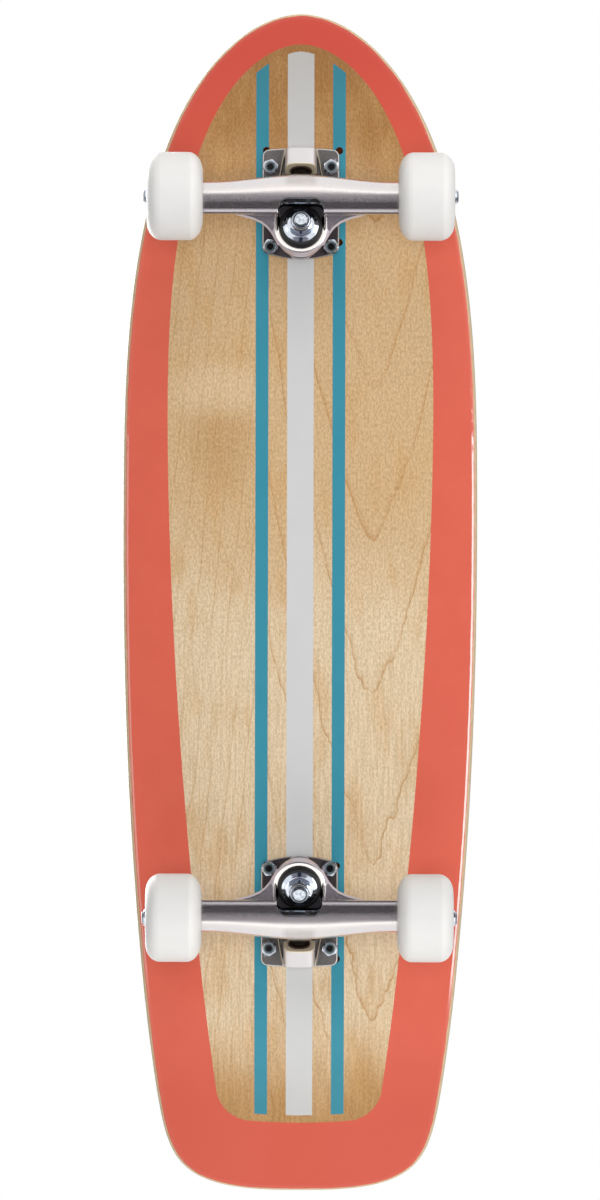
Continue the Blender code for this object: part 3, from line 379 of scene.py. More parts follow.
class Finish:
    """A material or a world, wired in Python. Constants go on the shader's own sockets."""

    def __init__(self, owner, constants=None):
        self.owner = bpy.data.materials.new(owner) if isinstance(owner, str) else owner
        self.owner.use_nodes = True
        self.tree = self.owner.node_tree
        self.shader = self.tree.nodes.get("Principled BSDF")
        for name, value in (constants or {}).items():
            self.feed(self.shader.inputs[name], value)

    def feed(self, socket, value):
        if isinstance(value, Wire):
            self.tree.links.new(value.socket, socket)
        elif socket.type == "RGBA" and len(value) == 3:
            socket.default_value = (*value, 1.0)
        else:
            socket.default_value = value

    def set(self, **sockets):
        for name, value in sockets.items():
            self.feed(self.shader.inputs[name.replace("_", " ").title()], value)

    def node(self, kind, settings=None, sockets=None, out=0):
        """A node of Blender's type ShaderNode and kind. Its settings come first."""
        made = self.tree.nodes.new("ShaderNode" + kind)
        for name, value in (settings or {}).items():
            setattr(made, name, value)
        for name, value in (sockets or {}).items():
            self.feed(made.inputs[name], value)
        return Wire(self, made.outputs[out])

    def mix(self, mask, first, second, blend="MIX"):
        """The first colour where the mask is 0, the second where it is 1."""
        settings = {"data_type": "RGBA", "blend_type": blend}
        return self.node("Mix", settings, {0: mask, 6: first, 7: second}, 2)

    def tinted(self, colour, tint):
        return self.mix(1.0, colour, tint, "MULTIPLY")

    def coats(self, colour, *layers):
        """A colour with others over it in turn, each given by its mask and its screen colour."""
        for mask, screen in layers:
            colour = self.mix(mask, colour, tone(*screen))
        return colour

    def place(self):
        """A point's place on its own object, in millimetres."""
        return self.scaled(self.node("TexCoord", out=3), (1 / MM,) * 3)

    def kept(self, name, out=1):
        """What the mesh keeps under a name: a vector, or with out=2 a number."""
        return self.node("Attribute", {"attribute_name": name}, out=out)

    def scaled(self, vector, factors):
        return self.node("VectorMath", {"operation": "MULTIPLY"}, {0: vector, 1: factors})

    def split(self, vector):
        return [self.node("SeparateXYZ", {}, {0: vector}, axis) for axis in range(3)]

    def noise(self, vector, size, detail=2.0, roughness=0.5):
        """Noise from about 0 to 1 whose cells measure a size, one number or three."""
        size = size if isinstance(size, tuple) else (size,) * 3
        sockets = {
            "Vector": self.scaled(vector, tuple(1 / part for part in size)),
            "Scale": 1.0,
            "Detail": detail,
            "Roughness": roughness,
        }
        return self.node("TexNoise", {}, sockets)

    def bump(self, height, strength, distance, under=None):
        sockets = {"Height": height, "Strength": strength, "Distance": distance * MM}
        if under:
            sockets["Normal"] = under
        return self.node("Bump", {}, sockets)


sink_profile = [(0, 14), (5.3, 14), (5.3, DECK_THICKNESS - 0.3)]
sink_profile += [(2.7, DECK_THICKNESS - 3.2), (2.7, -2), (0, -2)]
sink = turned(sink_profile, 40)
drill = plug(2.5, -2, 14, 40)
holes = [seated(sink, moved(*spot)) for spot in bolt_places()]
holes += [seated(drill, moved(*spot)) for spot in SPARE_HOLES]
deck_mesh = pressed(joined(sawn_sheet(0.0, 0.0, DECK_THICKNESS, RAIL_ROUNDING), holes, "DIFFERENCE"))

wood = Finish(
    "lacquered_maple", {"Coat Roughness": 0.18, "Coat IOR": 1.5, "Specular IOR Level": 0.22}
)
blank = wood.kept("blank")
x, y, height = wood.split(blank)
edge = wood.kept("edge", 2)

# Maple: fine streaks, broad warm clouds, and the nested arches of a veneer peeled round the log.
# The arches point to the tail at y = 50 and turn back past y = -25, more steeply.
cloud = wood.noise(blank, (150, 55, 400), 3, 0.55)
drift = x + (cloud - 0.5) * 130
patch = wood.noise(blank, (62, 22, 300), 3, 0.6).above(0.48, 0.68)
maple = wood.coats(
    tone(219, 196, 163),
    (drift.above(-25, 75), (206, 173, 131)),
    # Browner toward the nose and more golden at the tail: partly the veneer's own tone, partly
    # painted shade on the pressed ends.
    (drift.above(225, 345), (172, 124, 70)),
    ((-drift).above(265, 345), (186, 143, 90)),
    (patch * 0.45, (200, 158, 104)),
)
warp = wood.noise(blank, (90, 34, 200), 3, 0.5)
curl = wood.noise(blank, (26, 11, 200), 2, 0.5)
ARCH_SPACING = 106
spread = 75 - abs(abs(y - 50) - 75)
steeper = (-y - 25).most(0) * 5
arch = (x - 40.6 - 0.863 * spread**1.337 + steeper) / ARCH_SPACING + (warp - 0.5) * 0.5
arch = arch + (curl - 0.5) * (90 - x).above(0, 200) * 0.4
past_line = arch.math("FRACT")
right_half = y.above(-30, -20)
line = 1 - (past_line * (right_half * 0.7 + 0.3)).above(0.01, 0.035)
ring = past_line.below(0.0, 0.15) ** 2 * 0.35 + line * 0.38
faint = wood.noise(blank, (120, 30, 100), 1).above(0.3, 0.55) * 0.7 + 0.3
maple = wood.mix(ring * faint * (right_half * 0.4 + 0.6), maple, tone(182, 132, 74))
for middle_x, middle_y, long, wide, shade in (
    (108, -54, 36, 26, tone(180, 138, 86)),
    (146, -54, 20, 38, tone(226, 202, 168)),
):
    reach = ((x - middle_x) / long) ** 2 + ((y - middle_y) / wide) ** 2 + (cloud - 0.5) * 1.6
    maple = wood.mix(reach.below(-0.4, 1.5) * 0.5, maple, shade)
streak = wood.noise(blank, (30, 1.8, 40), 3, 0.65)
fibre = wood.noise(blank, (2.5, 1.3, 9), 4, 0.8)
combed = (60 - x).above(0, 160) * 0.2 + 0.14
figure = (fibre + (streak - fibre) * combed).above(0.39, 0.61)
maple = wood.tinted(maple, wood.mix(figure, (0.83, 0.80, 0.74), (1.15, 1.17, 1.21)))
fleck = wood.noise(blank, (4.2, 0.9, 9), 1)
maple = wood.mix(fleck.above(0.69, 0.78) * 0.25, maple, tone(236, 220, 194))

# Border and stripes. The bare panel is a smaller board shape inside the coral.
PANEL_NOSE_X = 381.4
PANEL_TAIL_X = -357.2
PANEL_HALF_WIDTH = 90.3
PANEL_CORNER = 18.5
CENTRE_STRIPE_HALF = 9.0
FLANK_STRIPE_HALF = 4.35
FLANK_STRIPE_Y = 26.1
across = abs(y)
nose_curve = (1 - ((across / PANEL_HALF_WIDTH).least(1)) ** 1.87).most(0) ** (1 / 2.9)
inside_nose = PANEL_NOSE_X - x - 271.6 * (1 - nose_curve)
narrowing = 3.39 * (((138.5 - x) / 135.8).most(0)) ** 1.85
side_gap = PANEL_HALF_WIDTH - narrowing - across
tail_gap = x - PANEL_TAIL_X - 4.2 * (across / 57) ** 2
side_turn = (PANEL_CORNER - side_gap).most(0)
tail_turn = (PANEL_CORNER - tail_gap).most(0)
inside_body = PANEL_CORNER - (side_turn**2 + tail_turn**2) ** 0.5
stencil = (wood.noise(blank, 3.0, 2) - 0.5) * 0.5
panel = (inside_nose + stencil).above(-0.15, 0.15) * (inside_body + stencil).above(-0.15, 0.15)
stripe_end = (inside_nose - 4.9 - 0.078 * across).least(inside_body - 5.4) + stencil
bare_end = stripe_end.above(-0.2, 0.2)
centre = (CENTRE_STRIPE_HALF - across + stencil * 0.6).above(-0.2, 0.2) * bare_end
flank = FLANK_STRIPE_HALF - abs(across - FLANK_STRIPE_Y) + stencil * 0.6
flank = flank.above(-0.2, 0.2) * bare_end
mottle = wood.noise(blank, 24.0, 4, 0.6)
spray = wood.noise(blank, 0.9, 2, 0.6)
coral = wood.coats(
    tone(213, 94, 75),
    (mottle, (220, 104, 83)),
    (spray.above(0.55, 0.8) * 0.25, (232, 124, 102)),
    # Deeper toward the nose and the tail: painted shade on the pressed ends.
    (x.above(230, 385) * 0.9, (196, 70, 56)),
    ((-x).above(255, 360) * 0.75, (201, 84, 66)),
)
face = wood.mix(flank, maple, wood.mix(mottle, tone(52, 136, 157), tone(62, 146, 165)))
face = wood.mix(centre, face, wood.mix(mottle, tone(203, 203, 203), tone(209, 209, 208)))
# Painted shade: the stripes and the bare panel darken toward the nose and the tail.
shaded_ends = x.above(285, 385) * 0.8 + (-x).above(290, 370) * 0.45
face = wood.mix(shaded_ends, face, wood.tinted(face, tone(213, 208, 203)))
face = wood.mix(panel, coral, face)

# A painted glint: a wobbly white line along the turn of the rail, mostly on the rider's left, where
# the lacquer would reflect a light at that side.
wear_and_glint_noise = wood.noise(blank, (9, 2.5, 30), 3, 0.7)
from_rail = edge + (wear_and_glint_noise - 0.5) * 0.9
underside = height.below(0.9, 1.1)
painted_glint = from_rail.above(2.3, 2.7) * from_rail.below(3.5, 3.9) * underside
painted_glint = painted_glint * (wear_and_glint_noise + (30 - x).above(-130, 0) * 0.7).above(0.62, 0.8) * (x + 280).above(0, 40)
painted_glint = painted_glint * (y.above(-1, 1) * 0.65 + 0.2)
face = wood.mix(painted_glint, face, tone(255, 246, 240))

# The rail shows the veneers, every second one laid across, and the glue between them.
layer = height * (VENEERS / DECK_THICKNESS)
inside_layer = layer.math("FRACT")
crossed = (layer * 0.5).math("FRACT").above(0.49, 0.51)
sawn = wood.noise(blank, (7, 7, 0.5), 3, 0.7)
glue = inside_layer.least(1 - inside_layer).below(0.03, 0.12)
plies = wood.coats(
    tone(208, 184, 146),
    (crossed, (190, 160, 120)),
    (sawn.above(0.4, 0.75) * 0.5, (165, 135, 98)),
    (glue * 0.65, (128, 100, 68)),
)
wobble = (wood.noise(blank, (14, 14, 60), 2) - 0.5) * 1.1
painted = (edge + wobble).above(1.75, 2.15) * underside
flat_top = height.above(DECK_THICKNESS - 0.25, DECK_THICKNESS - 0.1)
# Painted light: the drilled walls are a bright orange-brown, so that the deep holes look lit inside.
lit_drill_walls = edge.above(7, 8) * height.above(0.35, 0.6) * (1 - flat_top)
outside = wood.coats(
    wood.mix(painted, plies, face),
    (flat_top, (210, 178, 134)),
    (lit_drill_walls * 0.9, (206, 124, 68)),
)
grain_bump = wood.bump(streak * (1 - painted * 0.6) + spray * 0.35, 0.12, 0.12)
wood.set(
    base_color=outside,
    roughness=0.34 + mottle * 0.08 + (1 - painted) * 0.12,
    coat_weight=edge.below(3, 5) * 0.6 + 0.03,
    normal=grain_bump,
)
placed("deck_board", deck_mesh, wood, "board", "deck")

# The grip tape is gritted sheet with a glued back, rolled onto the top of the deck, cut round
# just inside the rail and punched through where the bolt heads sit.
GRIP_BACK = 11.3
GRIP_FACE = 12.2
GRIP_MARGIN = 4.6
punch = plug(4.95, 10.5, 14, 40)
punches = [seated(punch, moved(*spot)) for spot in bolt_places()]
grip_sheet = sawn_sheet(GRIP_MARGIN, GRIP_BACK, GRIP_FACE, 0.25)
grip_mesh = pressed(joined(grip_sheet, punches, "DIFFERENCE"))
grit = Finish("grip_tape", {"Specular IOR Level": 0.4})
blank = grit.kept("blank")
grit_spots = {"Vector": grit.scaled(blank, (2.2,) * 3), "Scale": 1.0}
grain = grit.node("TexVoronoi", {"feature": "F1"}, grit_spots)
clump = grit.noise(blank, 2.6, 3, 0.7)
scuff = grit.noise(blank, (60, 34, 60), 3, 0.55)
glued = grit.split(blank)[2].below(GRIP_BACK + 0.02, GRIP_BACK + 0.1)
grit.set(
    base_color=grit.coats(
        tone(17, 17, 18),
        (clump, (42, 42, 43)),
        (scuff.above(0.5, 0.75) * 0.5, (56, 55, 53)),
        (grain.below(0.08, 0.2), (92, 92, 96)),
        (glued, (134, 72, 38)),
    ),
    roughness=0.62 + clump * 0.35,
    normal=grit.bump((1 - grain) * 0.8 + clump, 0.75, 0.28),
)
placed("grip_sheet", grip_mesh, grit, "board", "grip_tape")

# Each truck bolts on through a cast aluminium base plate: a bow-ended plate whose two bosses
# take the pivot cup and the kingpin. It is sand-cast, so only its edges and the bored boss
# are smooth; the rest keeps a dark, grainy skin. Its pale edges also carry a painted highlight,
# its kingpin end painted shade and its lilac skirt a painted reflection.
PLATE_FACE = 6.3
FOOT = 5.3  # where bosses and ribs start, a little inside the plate
SEAT_GAP = 0.3
TRUCKS = {
    "front": moved(FRONT_TRUCK_X, 0, DECK_UNDERSIDE) @ Matrix.Diagonal((1, -1, -1, 1)),
    "rear": moved(REAR_TRUCK_X, 0, DECK_UNDERSIDE) @ Matrix.Diagonal((-1, 1, -1, 1)),
}
KINGPIN_X = -28.2
KINGPIN_LEAN = math.radians(15.1)
KINGPIN_WAY = Vector((math.sin(KINGPIN_LEAN), 0, math.cos(KINGPIN_LEAN)))
PIVOT_POINT = Vector((27.5, 0, 11))
STEERING_WAY = Vector((-0.8953, 0, 0.4454)).normalized()


def axis_frame(point, way):
    """A frame at a point of the truck's middle plane, its Z running along a direction."""
    across = Vector((0, 1, 0))
    made = Matrix((across.cross(way), across, way)).transposed().to_4x4()
    made.translation = Vector(point) * MM
    return made


KINGPIN = axis_frame((KINGPIN_X, 0, 0), KINGPIN_WAY)
STEERING = axis_frame(PIVOT_POINT, STEERING_WAY)


def from_pivot_point(x, z):
    """How far a point of the middle plane lies along the steering line."""
    return (x - PIVOT_POINT.x) * STEERING_WAY.x + (z - PIVOT_POINT.z) * STEERING_WAY.z


def slab(outline, low, high, rounding, segments=4):
    """A flat outline raised from low to high, its upper edge rounded, or chamfered by one segment."""
    bm = bmesh.new()
    base = bm.faces.new([bm.verts.new(Vector((x, y, low)) * MM) for x, y in outline])
    raised = bmesh.ops.extrude_face_region(bm, geom=[base], use_keep_orig=True)
    lifted = [item for item in raised["geom"] if isinstance(item, bmesh.types.BMVert)]
    bmesh.ops.translate(bm, vec=Vector((0, 0, high - low)) * MM, verts=lifted)
    rim = [edge for edge in bm.edges if edge.verts[0] in lifted and edge.verts[1] in lifted]
    bmesh.ops.bevel(
        bm, geom=rim, offset=rounding * MM, segments=segments, profile=0.5, affect="EDGES"
    )
    return closed(bm, bpy.data.meshes.new("slab"))


def hull(points):
    """The tight convex solid round some points."""
    bm = bmesh.new()
    for point in points:
        bm.verts.new(Vector(point) * MM)
    made = bmesh.ops.convex_hull(bm, input=bm.verts)
    unused = [item for item in made["geom_unused"] if isinstance(item, bmesh.types.BMVert)]
    inside = [item for item in made["geom_interior"] if isinstance(item, bmesh.types.BMVert)]
    bmesh.ops.delete(bm, geom=list(set(unused + inside)), context="VERTS")
    return closed(bm, bpy.data.meshes.new("hull"))


def circle(seat, height, radius):
    spots = [Vector(spot) * MM for spot in ring_row(full_turn(48), radius, height)]
    return [(seat @ spot) / MM for spot in spots]


def bulged(value, power):
    """A sine or cosine raised to a power with its sign kept, for rounds that are squarer."""
    return math.copysign(abs(value) ** power, value)


def cast(mesh, grain_size, rounds, faces):
    """Cast corners: the solid remeshed finely, softened, and thinned to a count of faces."""
    fine = with_modifiers(
        mesh,
        ("REMESH", {"mode": "VOXEL", "voxel_size": grain_size * MM}),
        ("SMOOTH", {"factor": 0.5, "iterations": rounds}),
    )
    share = min(1.0, faces / (2 * len(fine.polygons)))
    return with_modifiers(fine, ("DECIMATE", {"ratio": share}))


def plate_outline():
    """Four corners joined by straight sides and bowed ends."""
    outline = []
    corners = ((34.6, 21.3, 4.7), (-26.3, 20.0, 6.0), (-26.3, -20.0, 6.0), (34.6, -21.3, 4.7))
    for index, (x, y, radius) in enumerate(corners):
        for turn in np.radians(np.linspace(index * 90, index * 90 + 90, 13)):
            outline.append((x + radius * math.cos(turn), y + radius * math.sin(turn)))
        if index in (1, 3):
            bow = -3.0 if index == 1 else 1.0
            side = math.copysign(1, y)
            for share in np.linspace(0.9, -0.9, 13) * side:
                end = x + math.copysign(radius, x)
                outline.append((end + bow * (1 - share**2), share * abs(y)))
    return outline


def boss_section(along):
    """The pivot boss is wider and flatter than a circle. Its outer end is flush with the plate."""
    section = []
    for turn in full_turn(64):
        up = 10.5 * bulged(math.cos(turn), 0.6)
        side = 10.8 * bulged(math.sin(turn), 0.6)
        spot = (STEERING @ (Vector((up, side, along)) * MM)) / MM
        section.append((min(spot.x, 39.9), spot.y, max(spot.z, FOOT)))
    return section


sections = boss_section(4.0) + boss_section(-9.5)
pivot_boss = hull(sections + [(x, y, FOOT) for x, y, z in sections])
kingpin_foot = circle(moved(-23.9, 0), 1.3, 11.4)
kingpin_boss = hull(kingpin_foot + circle(KINGPIN, 17.0, 11.2))
skirt = hull(
    [(-34.9, -4.6, FOOT), (-34.9, 4.6, FOOT), (-20, -16.5, FOOT), (-20, 16.5, FOOT)]
    + [(-34.6, -4.6, 7.2), (-34.6, 4.6, 7.2), (-30.5, -11.0, 16.0), (-30.5, 11.0, 16.0)]
)
platform = slab([(6, -17.0), (39.3, -10.9), (39.3, 10.9), (6, 17.0)], FOOT, 8.2, 0.5)
ribs = [
    slab(
        [(5, side * 17.9), (39.1, side * 11.4), (39.1, side * 10.4), (5, side * 16.9)][::side],
        FOOT, 10.1, 0.3,
    )
    for side in (1, -1)
]
plate = joined(
    slab(plate_outline(), SEAT_GAP, PLATE_FACE, 1.2),
    [pivot_boss, kingpin_boss, skirt, platform, *ribs],
    "UNION",
)
bolt_hole = plug(2.7, -1, 12, 40)
cutters = [seated(bolt_hole, moved(*spot)) for spot in BOLT_SPOTS]
cutters.append(seated(plug(7.5, -6.2, 12), STEERING))
kingpin_hole = [(0, 23), (5.05, 23), (5.05, 7.5), (6.7, 7.5), (6.7, -5), (0, -5)]
cutters.append(seated(turned(kingpin_hole), KINGPIN))
plate_mesh = cast(joined(plate, cutters, "DIFFERENCE"), 0.4, 2, 60000)
keep_edge_distance(plate_mesh, plate_outline())

rough = Finish("sand_cast_aluminium")
place = rough.place()
x, y, height = rough.split(place)
edge = rough.kept("edge", 2)
skin = rough.noise(place, 0.9, 3, 0.7)
stain = rough.noise(place, 9.0, 3, 0.6)
# Pale smooth edges: partly worn, partly a painted highlight along the rim and the sharp edges.
worn_edge_sheen = rough.node("NewGeometry", out=7).above(0.53, 0.6)
bored = x.above(12, 14) * (11.2 - abs(y)).above(0, 0.4) * height.above(8.8, 9.6)
skirted = (-x).above(20, 22) * height.above(6.8, 7.6)
rim_wear_and_sheen = (edge + skin * 0.3).below(0.75, 1.1)
smooth = bored.most(skirted * 0.8).most(worn_edge_sheen).most(rim_wear_and_sheen * 0.9)
ribbed = height.above(9.6, 9.9) * x.above(6, 9) * abs(y).above(10.3, 10.6) * (1 - bored)
dark = rough.coats(
    tone(128, 126, 124),
    # Painted shade: darker toward the kingpin end, under the hanger.
    ((-x).above(-12, 6), (104, 97, 101)),
    (skin.above(0.35, 0.7) * 0.55, (84, 79, 80)),
    (stain.above(0.45, 0.75) * 0.35, (146, 141, 138)),
    (ribbed, (196, 184, 164)),
)
from_pivot = from_pivot_point(x, height)
mouth = from_pivot.above(2.9, 3.5) * bored * (6 - from_pivot).above(0, 1)
# The skirt is a flat pale lilac without metal shine: partly a blasted skin, partly a painted
# reflection.
blasted_with_painted_reflection = (skirted * (1 - rim_wear_and_sheen)).most(mouth)
metal = rough.mix(smooth, dark, tone(226, 223, 223))
metal = rough.mix(skirted, metal, rough.mix(skin, tone(214, 203, 216), tone(204, 194, 208)))
rough.set(
    base_color=rough.mix(mouth, metal, tone(228, 214, 186)),
    metallic=1 - blasted_with_painted_reflection * 0.85,
    roughness=0.52 - smooth * 0.16 + skin * 0.1 + ribbed * 0.15,
    normal=rough.bump(skin, 0.5 - smooth * 0.35, 0.35),
)
for truck, matrix in TRUCKS.items():
    placed(
        f"{truck}_plate_casting", plate_mesh, rough, "board", f"{truck}_baseplate",
        matrix, 60,
    )

# Four countersunk socket bolts of black steel hold each plate, their heads flush in the grip
# tape. Their zinc-plated lock nuts have a crimped collar that keeps a nylon ring.
def lock_nut(across, hex_height, collar, collar_height, bore, lip):
    """A hexagonal nut, chamfered both ends, with its collar crimped to a lip on a nylon ring."""
    half = across / 2
    turns = full_turn(96)
    from_flat = (turns + math.pi / 6) % (math.pi / 3) - math.pi / 6
    hexagon = np.minimum(half / np.cos(from_flat), half / math.cos(math.pi / 6) * 0.985)
    shoulder = half * 0.95
    fall = np.maximum(hexagon - shoulder, 0) * 0.577
    top = hex_height + collar_height
    rounds = [
        (bore + 0.4, 0), (shoulder, 0), (hexagon, fall * 0.5), (hexagon, hex_height - fall),
        (shoulder, hex_height), (collar + 0.3, hex_height), (collar, hex_height + 0.3),
        (collar, top - 0.8), (collar - 0.25, top - 0.3), (collar - 0.6, top - 0.05),
        (lip + 0.1, top), (lip, top - 0.12), (lip - 0.05, top - 0.7), (bore + 0.15, top - 0.75),
        (bore, top - 0.9), (bore, 0.4),
    ]
    return grid_mesh([ring_row(turns, radius, level) for radius, level in rounds], True)


def screw_thread(x, y, along, pitch):
    """The height of a thread round a piece's own Z, from -1 to 1."""
    turn = y.math("ARCTAN2", x) / (2 * math.pi)
    return ((along / pitch + turn) * 2 * math.pi).math("SINE")


def zinc_finish(name, lip, nylon_from, nylon_colour):
    """Bright zinc plate, with the nylon ring inside a radius and above a height."""
    zinc = Finish(name)
    place = zinc.place()
    x, y, height = zinc.split(place)
    radius = (x * x + y * y) ** 0.5
    frost = zinc.noise(place, 0.8, 3, 0.65)
    tint = zinc.noise(place, 3.4, 2)
    plate = zinc.coats(
        tone(222, 228, 236),
        (tint, (208, 219, 234)),
        (frost.above(0.55, 0.8) * 0.35, (176, 184, 196)),
    )
    nylon = radius.below(lip, lip + 0.05) * height.above(nylon_from, nylon_from + 0.05)
    zinc.set(
        base_color=zinc.mix(nylon, plate, nylon_colour),
        metallic=1 - nylon,
        roughness=0.08 + frost * 0.08 + nylon * 0.3,
        normal=zinc.bump(frost, 0.12, 0.1),
    )
    return zinc


nut_mesh = lock_nut(9.5, 4.2, 4.1, 1.6, 2.45, 3.6)
nut_zinc = zinc_finish("zinc_of_bolt_nuts", 3.6, 5.0, tone(104, 120, 126))
BOLT_LENGTH = 20.9
SOCKET_RADIUS = 3.2 / math.sqrt(3)
bolt_profile = [
    (0, BOLT_LENGTH), (2.0, BOLT_LENGTH, 0.3), (2.4, BOLT_LENGTH - 0.8), (2.4, 2.6), (4.7, 0.4),
    (4.7, 0, 0.15), (0, 0),
]
bolt_mesh = joined(turned(bolt_profile, 48), [plug(SOCKET_RADIUS, -1, 1.8, 6)], "DIFFERENCE")
black = Finish("black_oxide_steel", {"Metallic": 0.85})
place = black.place()
x, y, height = black.split(place)
wear_and_glint_noise = black.noise(place, 0.7, 3, 0.7)
thread = screw_thread(x, y, height, 0.8) * height.above(6, 7)
tip = height.above(BOLT_LENGTH - 1.0, BOLT_LENGTH - 0.8)
started = tip * ((x * x + y * y) ** 0.5).above(1.85, 2.0)
black.set(
    base_color=black.coats(
        tone(38, 37, 38), (wear_and_glint_noise.above(0.5, 0.8) * 0.6, (84, 82, 80)), (started, (112, 124, 128))
    ),
    roughness=0.36 + wear_and_glint_noise * 0.18,
    normal=black.bump(thread, 0.6, 0.25, black.bump(wear_and_glint_noise, 0.15, 0.08)),
)
for truck, matrix in TRUCKS.items():
    for index, (along, across) in enumerate(BOLT_SPOTS, start=1):
        placed(
            f"{truck}_bolt_{index}_fine", bolt_mesh, black, "board", f"{truck}_bolt_{index}",
            matrix @ moved(along, across, SEAT_GAP - DECK_THICKNESS),
        )
        turn = Matrix.Rotation(math.radians(17 * index), 4, "Z")
        placed(
            f"{truck}_nut_{index}_fine", nut_mesh, nut_zinc, "board", f"{truck}_nut_{index}",
            matrix @ moved(along, across, PLATE_FACE + SEAT_GAP) @ turn, 25,
        )

# The pivot cup is a moulded plastic thimble pushed into the plate's bored boss. The hanger's
# pin turns in it.
cup_mesh = turned([
    (0, -4.5), (3.9, -4.3, 1.2), (5.9, -2.5, 1.2), (5.9, 4.6, 0.3), (7.2, 4.6, 0.4),
    (7.2, -5.9, 0.6), (0, -5.9),
])
plastic = Finish("brown_cup_plastic", {"Specular IOR Level": 0.45})
place = plastic.place()
moulding = plastic.noise(place, 1.6, 3, 0.6)
plastic.set(
    base_color=plastic.mix(moulding, tone(66, 52, 42), tone(88, 70, 56)),
    roughness=0.42 + moulding * 0.15,
    normal=plastic.bump(moulding, 0.2, 0.12),
)
for truck, matrix in TRUCKS.items():
    placed(
        f"{truck}_cup_fine", cup_mesh, plastic, "board", f"{truck}_pivot_cup",
        matrix @ STEERING,
    )

# The kingpin is a zinc-plated steel bolt pressed into the plate, leaning outward. Two black
# urethane bushings on it grip the hanger's ring between dished washers, and a lock nut
# squeezes the stack.
kingpin_mesh = turned([
    (0, 64.1), (3.9, 64.1, 0.4), (4.75, 63.3, 0.3), (4.75, 7.2), (6.4, 7.2, 0.4),
    (6.4, 2.2, 0.6), (0, 2.2),
])


def cup_washer(start, radius, dish):
    end = start + 1.6
    return turned(
        [
            (5.05, end, 0.3), (radius * 0.74, end, 0.8), (radius - 0.15, end - dish, 0.3),
            (radius, start, 0.15), (radius * 0.74, start + 0.1, 0.3), (5.05, start, 0.3),
        ],
        96,
    )


def bushing(start, height, radius, rounding):
    end = start + height
    return turned(
        [
            (5.35, end, 0.3), (radius, end, rounding), (radius, start + height * 0.5),
            (radius, start, 0.5), (5.35, start, 0.3),
        ],
        96,
    )


steel = Finish("bright_zinc_steel", {"Metallic": 1.0})
place = steel.place()
x, y, height = steel.split(place)
frost = steel.noise(place, 0.9, 3, 0.65)
tint = steel.noise(place, 5.0, 2)
threaded = height.above(46, 48)
thread = screw_thread(x, y, height, 1.1) * threaded
sheared = height.above(63.6, 64.0)
pitted = steel.noise(place, 1.5, 3, 0.7)
relief = thread * 0.6 * (1 - sheared) + sheared * pitted * 1.5
steel.set(
    base_color=steel.coats(
        tone(226, 231, 238),
        (tint, (208, 219, 234)),
        (frost.above(0.58, 0.85) * 0.3, (182, 190, 202)),
        (sheared * pitted.above(0.4, 0.65), (168, 174, 182)),
    ),
    roughness=0.05 + frost * 0.06 + sheared * 0.2,
    normal=steel.bump(relief, 0.3 * threaded, 0.2, steel.bump(frost, 0.1, 0.08)),
)
urethane = Finish("black_bushing_urethane", {"Specular IOR Level": 0.5})
place = urethane.place()
pour = urethane.noise(place, 2.4, 3, 0.6)
urethane.set(
    base_color=urethane.mix(pour, tone(16, 16, 17), tone(30, 29, 29)),
    roughness=0.34 + pour * 0.16,
    normal=urethane.bump(pour, 0.12, 0.15),
)
kingpin_nut_mesh = lock_nut(14.3, 6.4, 6.5, 3.2, 4.95, 5.6)
kingpin_zinc = zinc_finish("zinc_of_kingpin_nuts", 5.6, 8.8, tone(120, 128, 134))
stack = (
    ("kingpin", kingpin_mesh, steel, "zinc_steel", 0, 0),
    ("board_washer", cup_washer(17.3, 12.0, 0.5), steel, "zinc_steel", 0, 0),
    ("board_bushing", bushing(19.2, 13.0, 13.0, 0.8), urethane, "black_urethane", 0, 0),
    ("road_bushing", bushing(38.5, 12.0, 14.6, 2.0), urethane, "black_urethane", 0, 0),
    ("road_washer", cup_washer(50.8, 12.1, 1.2), steel, "zinc_steel", 0, 0),
    ("kingpin_nut", kingpin_nut_mesh, kingpin_zinc, "zinc_steel", 52.7, 30),
)
for truck, matrix in TRUCKS.items():
    for part, mesh, finish, slot, along, turn in stack:
        seat = matrix @ KINGPIN @ moved(0, 0, along)
        seat = seat @ Matrix.Rotation(math.radians(turn), 4, "Z")
        placed(f"{truck}_{part}_fine", mesh, finish, "board", f"{truck}_{part}", seat, 28)

# The hanger is one aluminium casting: a bar that holds the axle, a bushing ring in webs on
# one side of it and a pivot pin on the other. It is tumbled to an even satin and its end
# faces and ring rim are machined.
AXLE_X = 4.2
AXLE_Z = 53.0
AXLE_BORE = 4.16
POCKET_WALL_X = -1.06
POCKET_HALF_WIDTH = 15.3
POCKET_CORNER = 4.5


def bar_section(across):
    swell = math.cos(math.pi / 2 * min(abs(across) / 64, 1)) ** 2
    points = []
    for turn in full_turn(56):
        cosine, sine = math.cos(turn), math.sin(turn)
        along = bulged(cosine, 2 / 2.2) * (9.7 + 4.7 * swell if cosine > 0 else 9.7)
        down = bulged(sine, 2 / 2.2) * (9.7 if sine > 0 else 9.7 + 4.0 * swell)
        points.append((AXLE_X + along, across, AXLE_Z + down))
    return points


def capped(rows):
    """A solid lofted through closed rows of points, its two ends closed flat."""
    mesh = grid_mesh(rows, False)
    bm = bmesh.new()
    bm.from_mesh(mesh)
    bmesh.ops.holes_fill(bm, edges=[edge for edge in bm.edges if edge.is_boundary])
    return closed(bm, mesh)


def drawn_in(points, share):
    middle = np.array((AXLE_X, points[0][1], AXLE_Z))
    return [tuple(middle + (np.array(point) - middle) * share) for point in points]


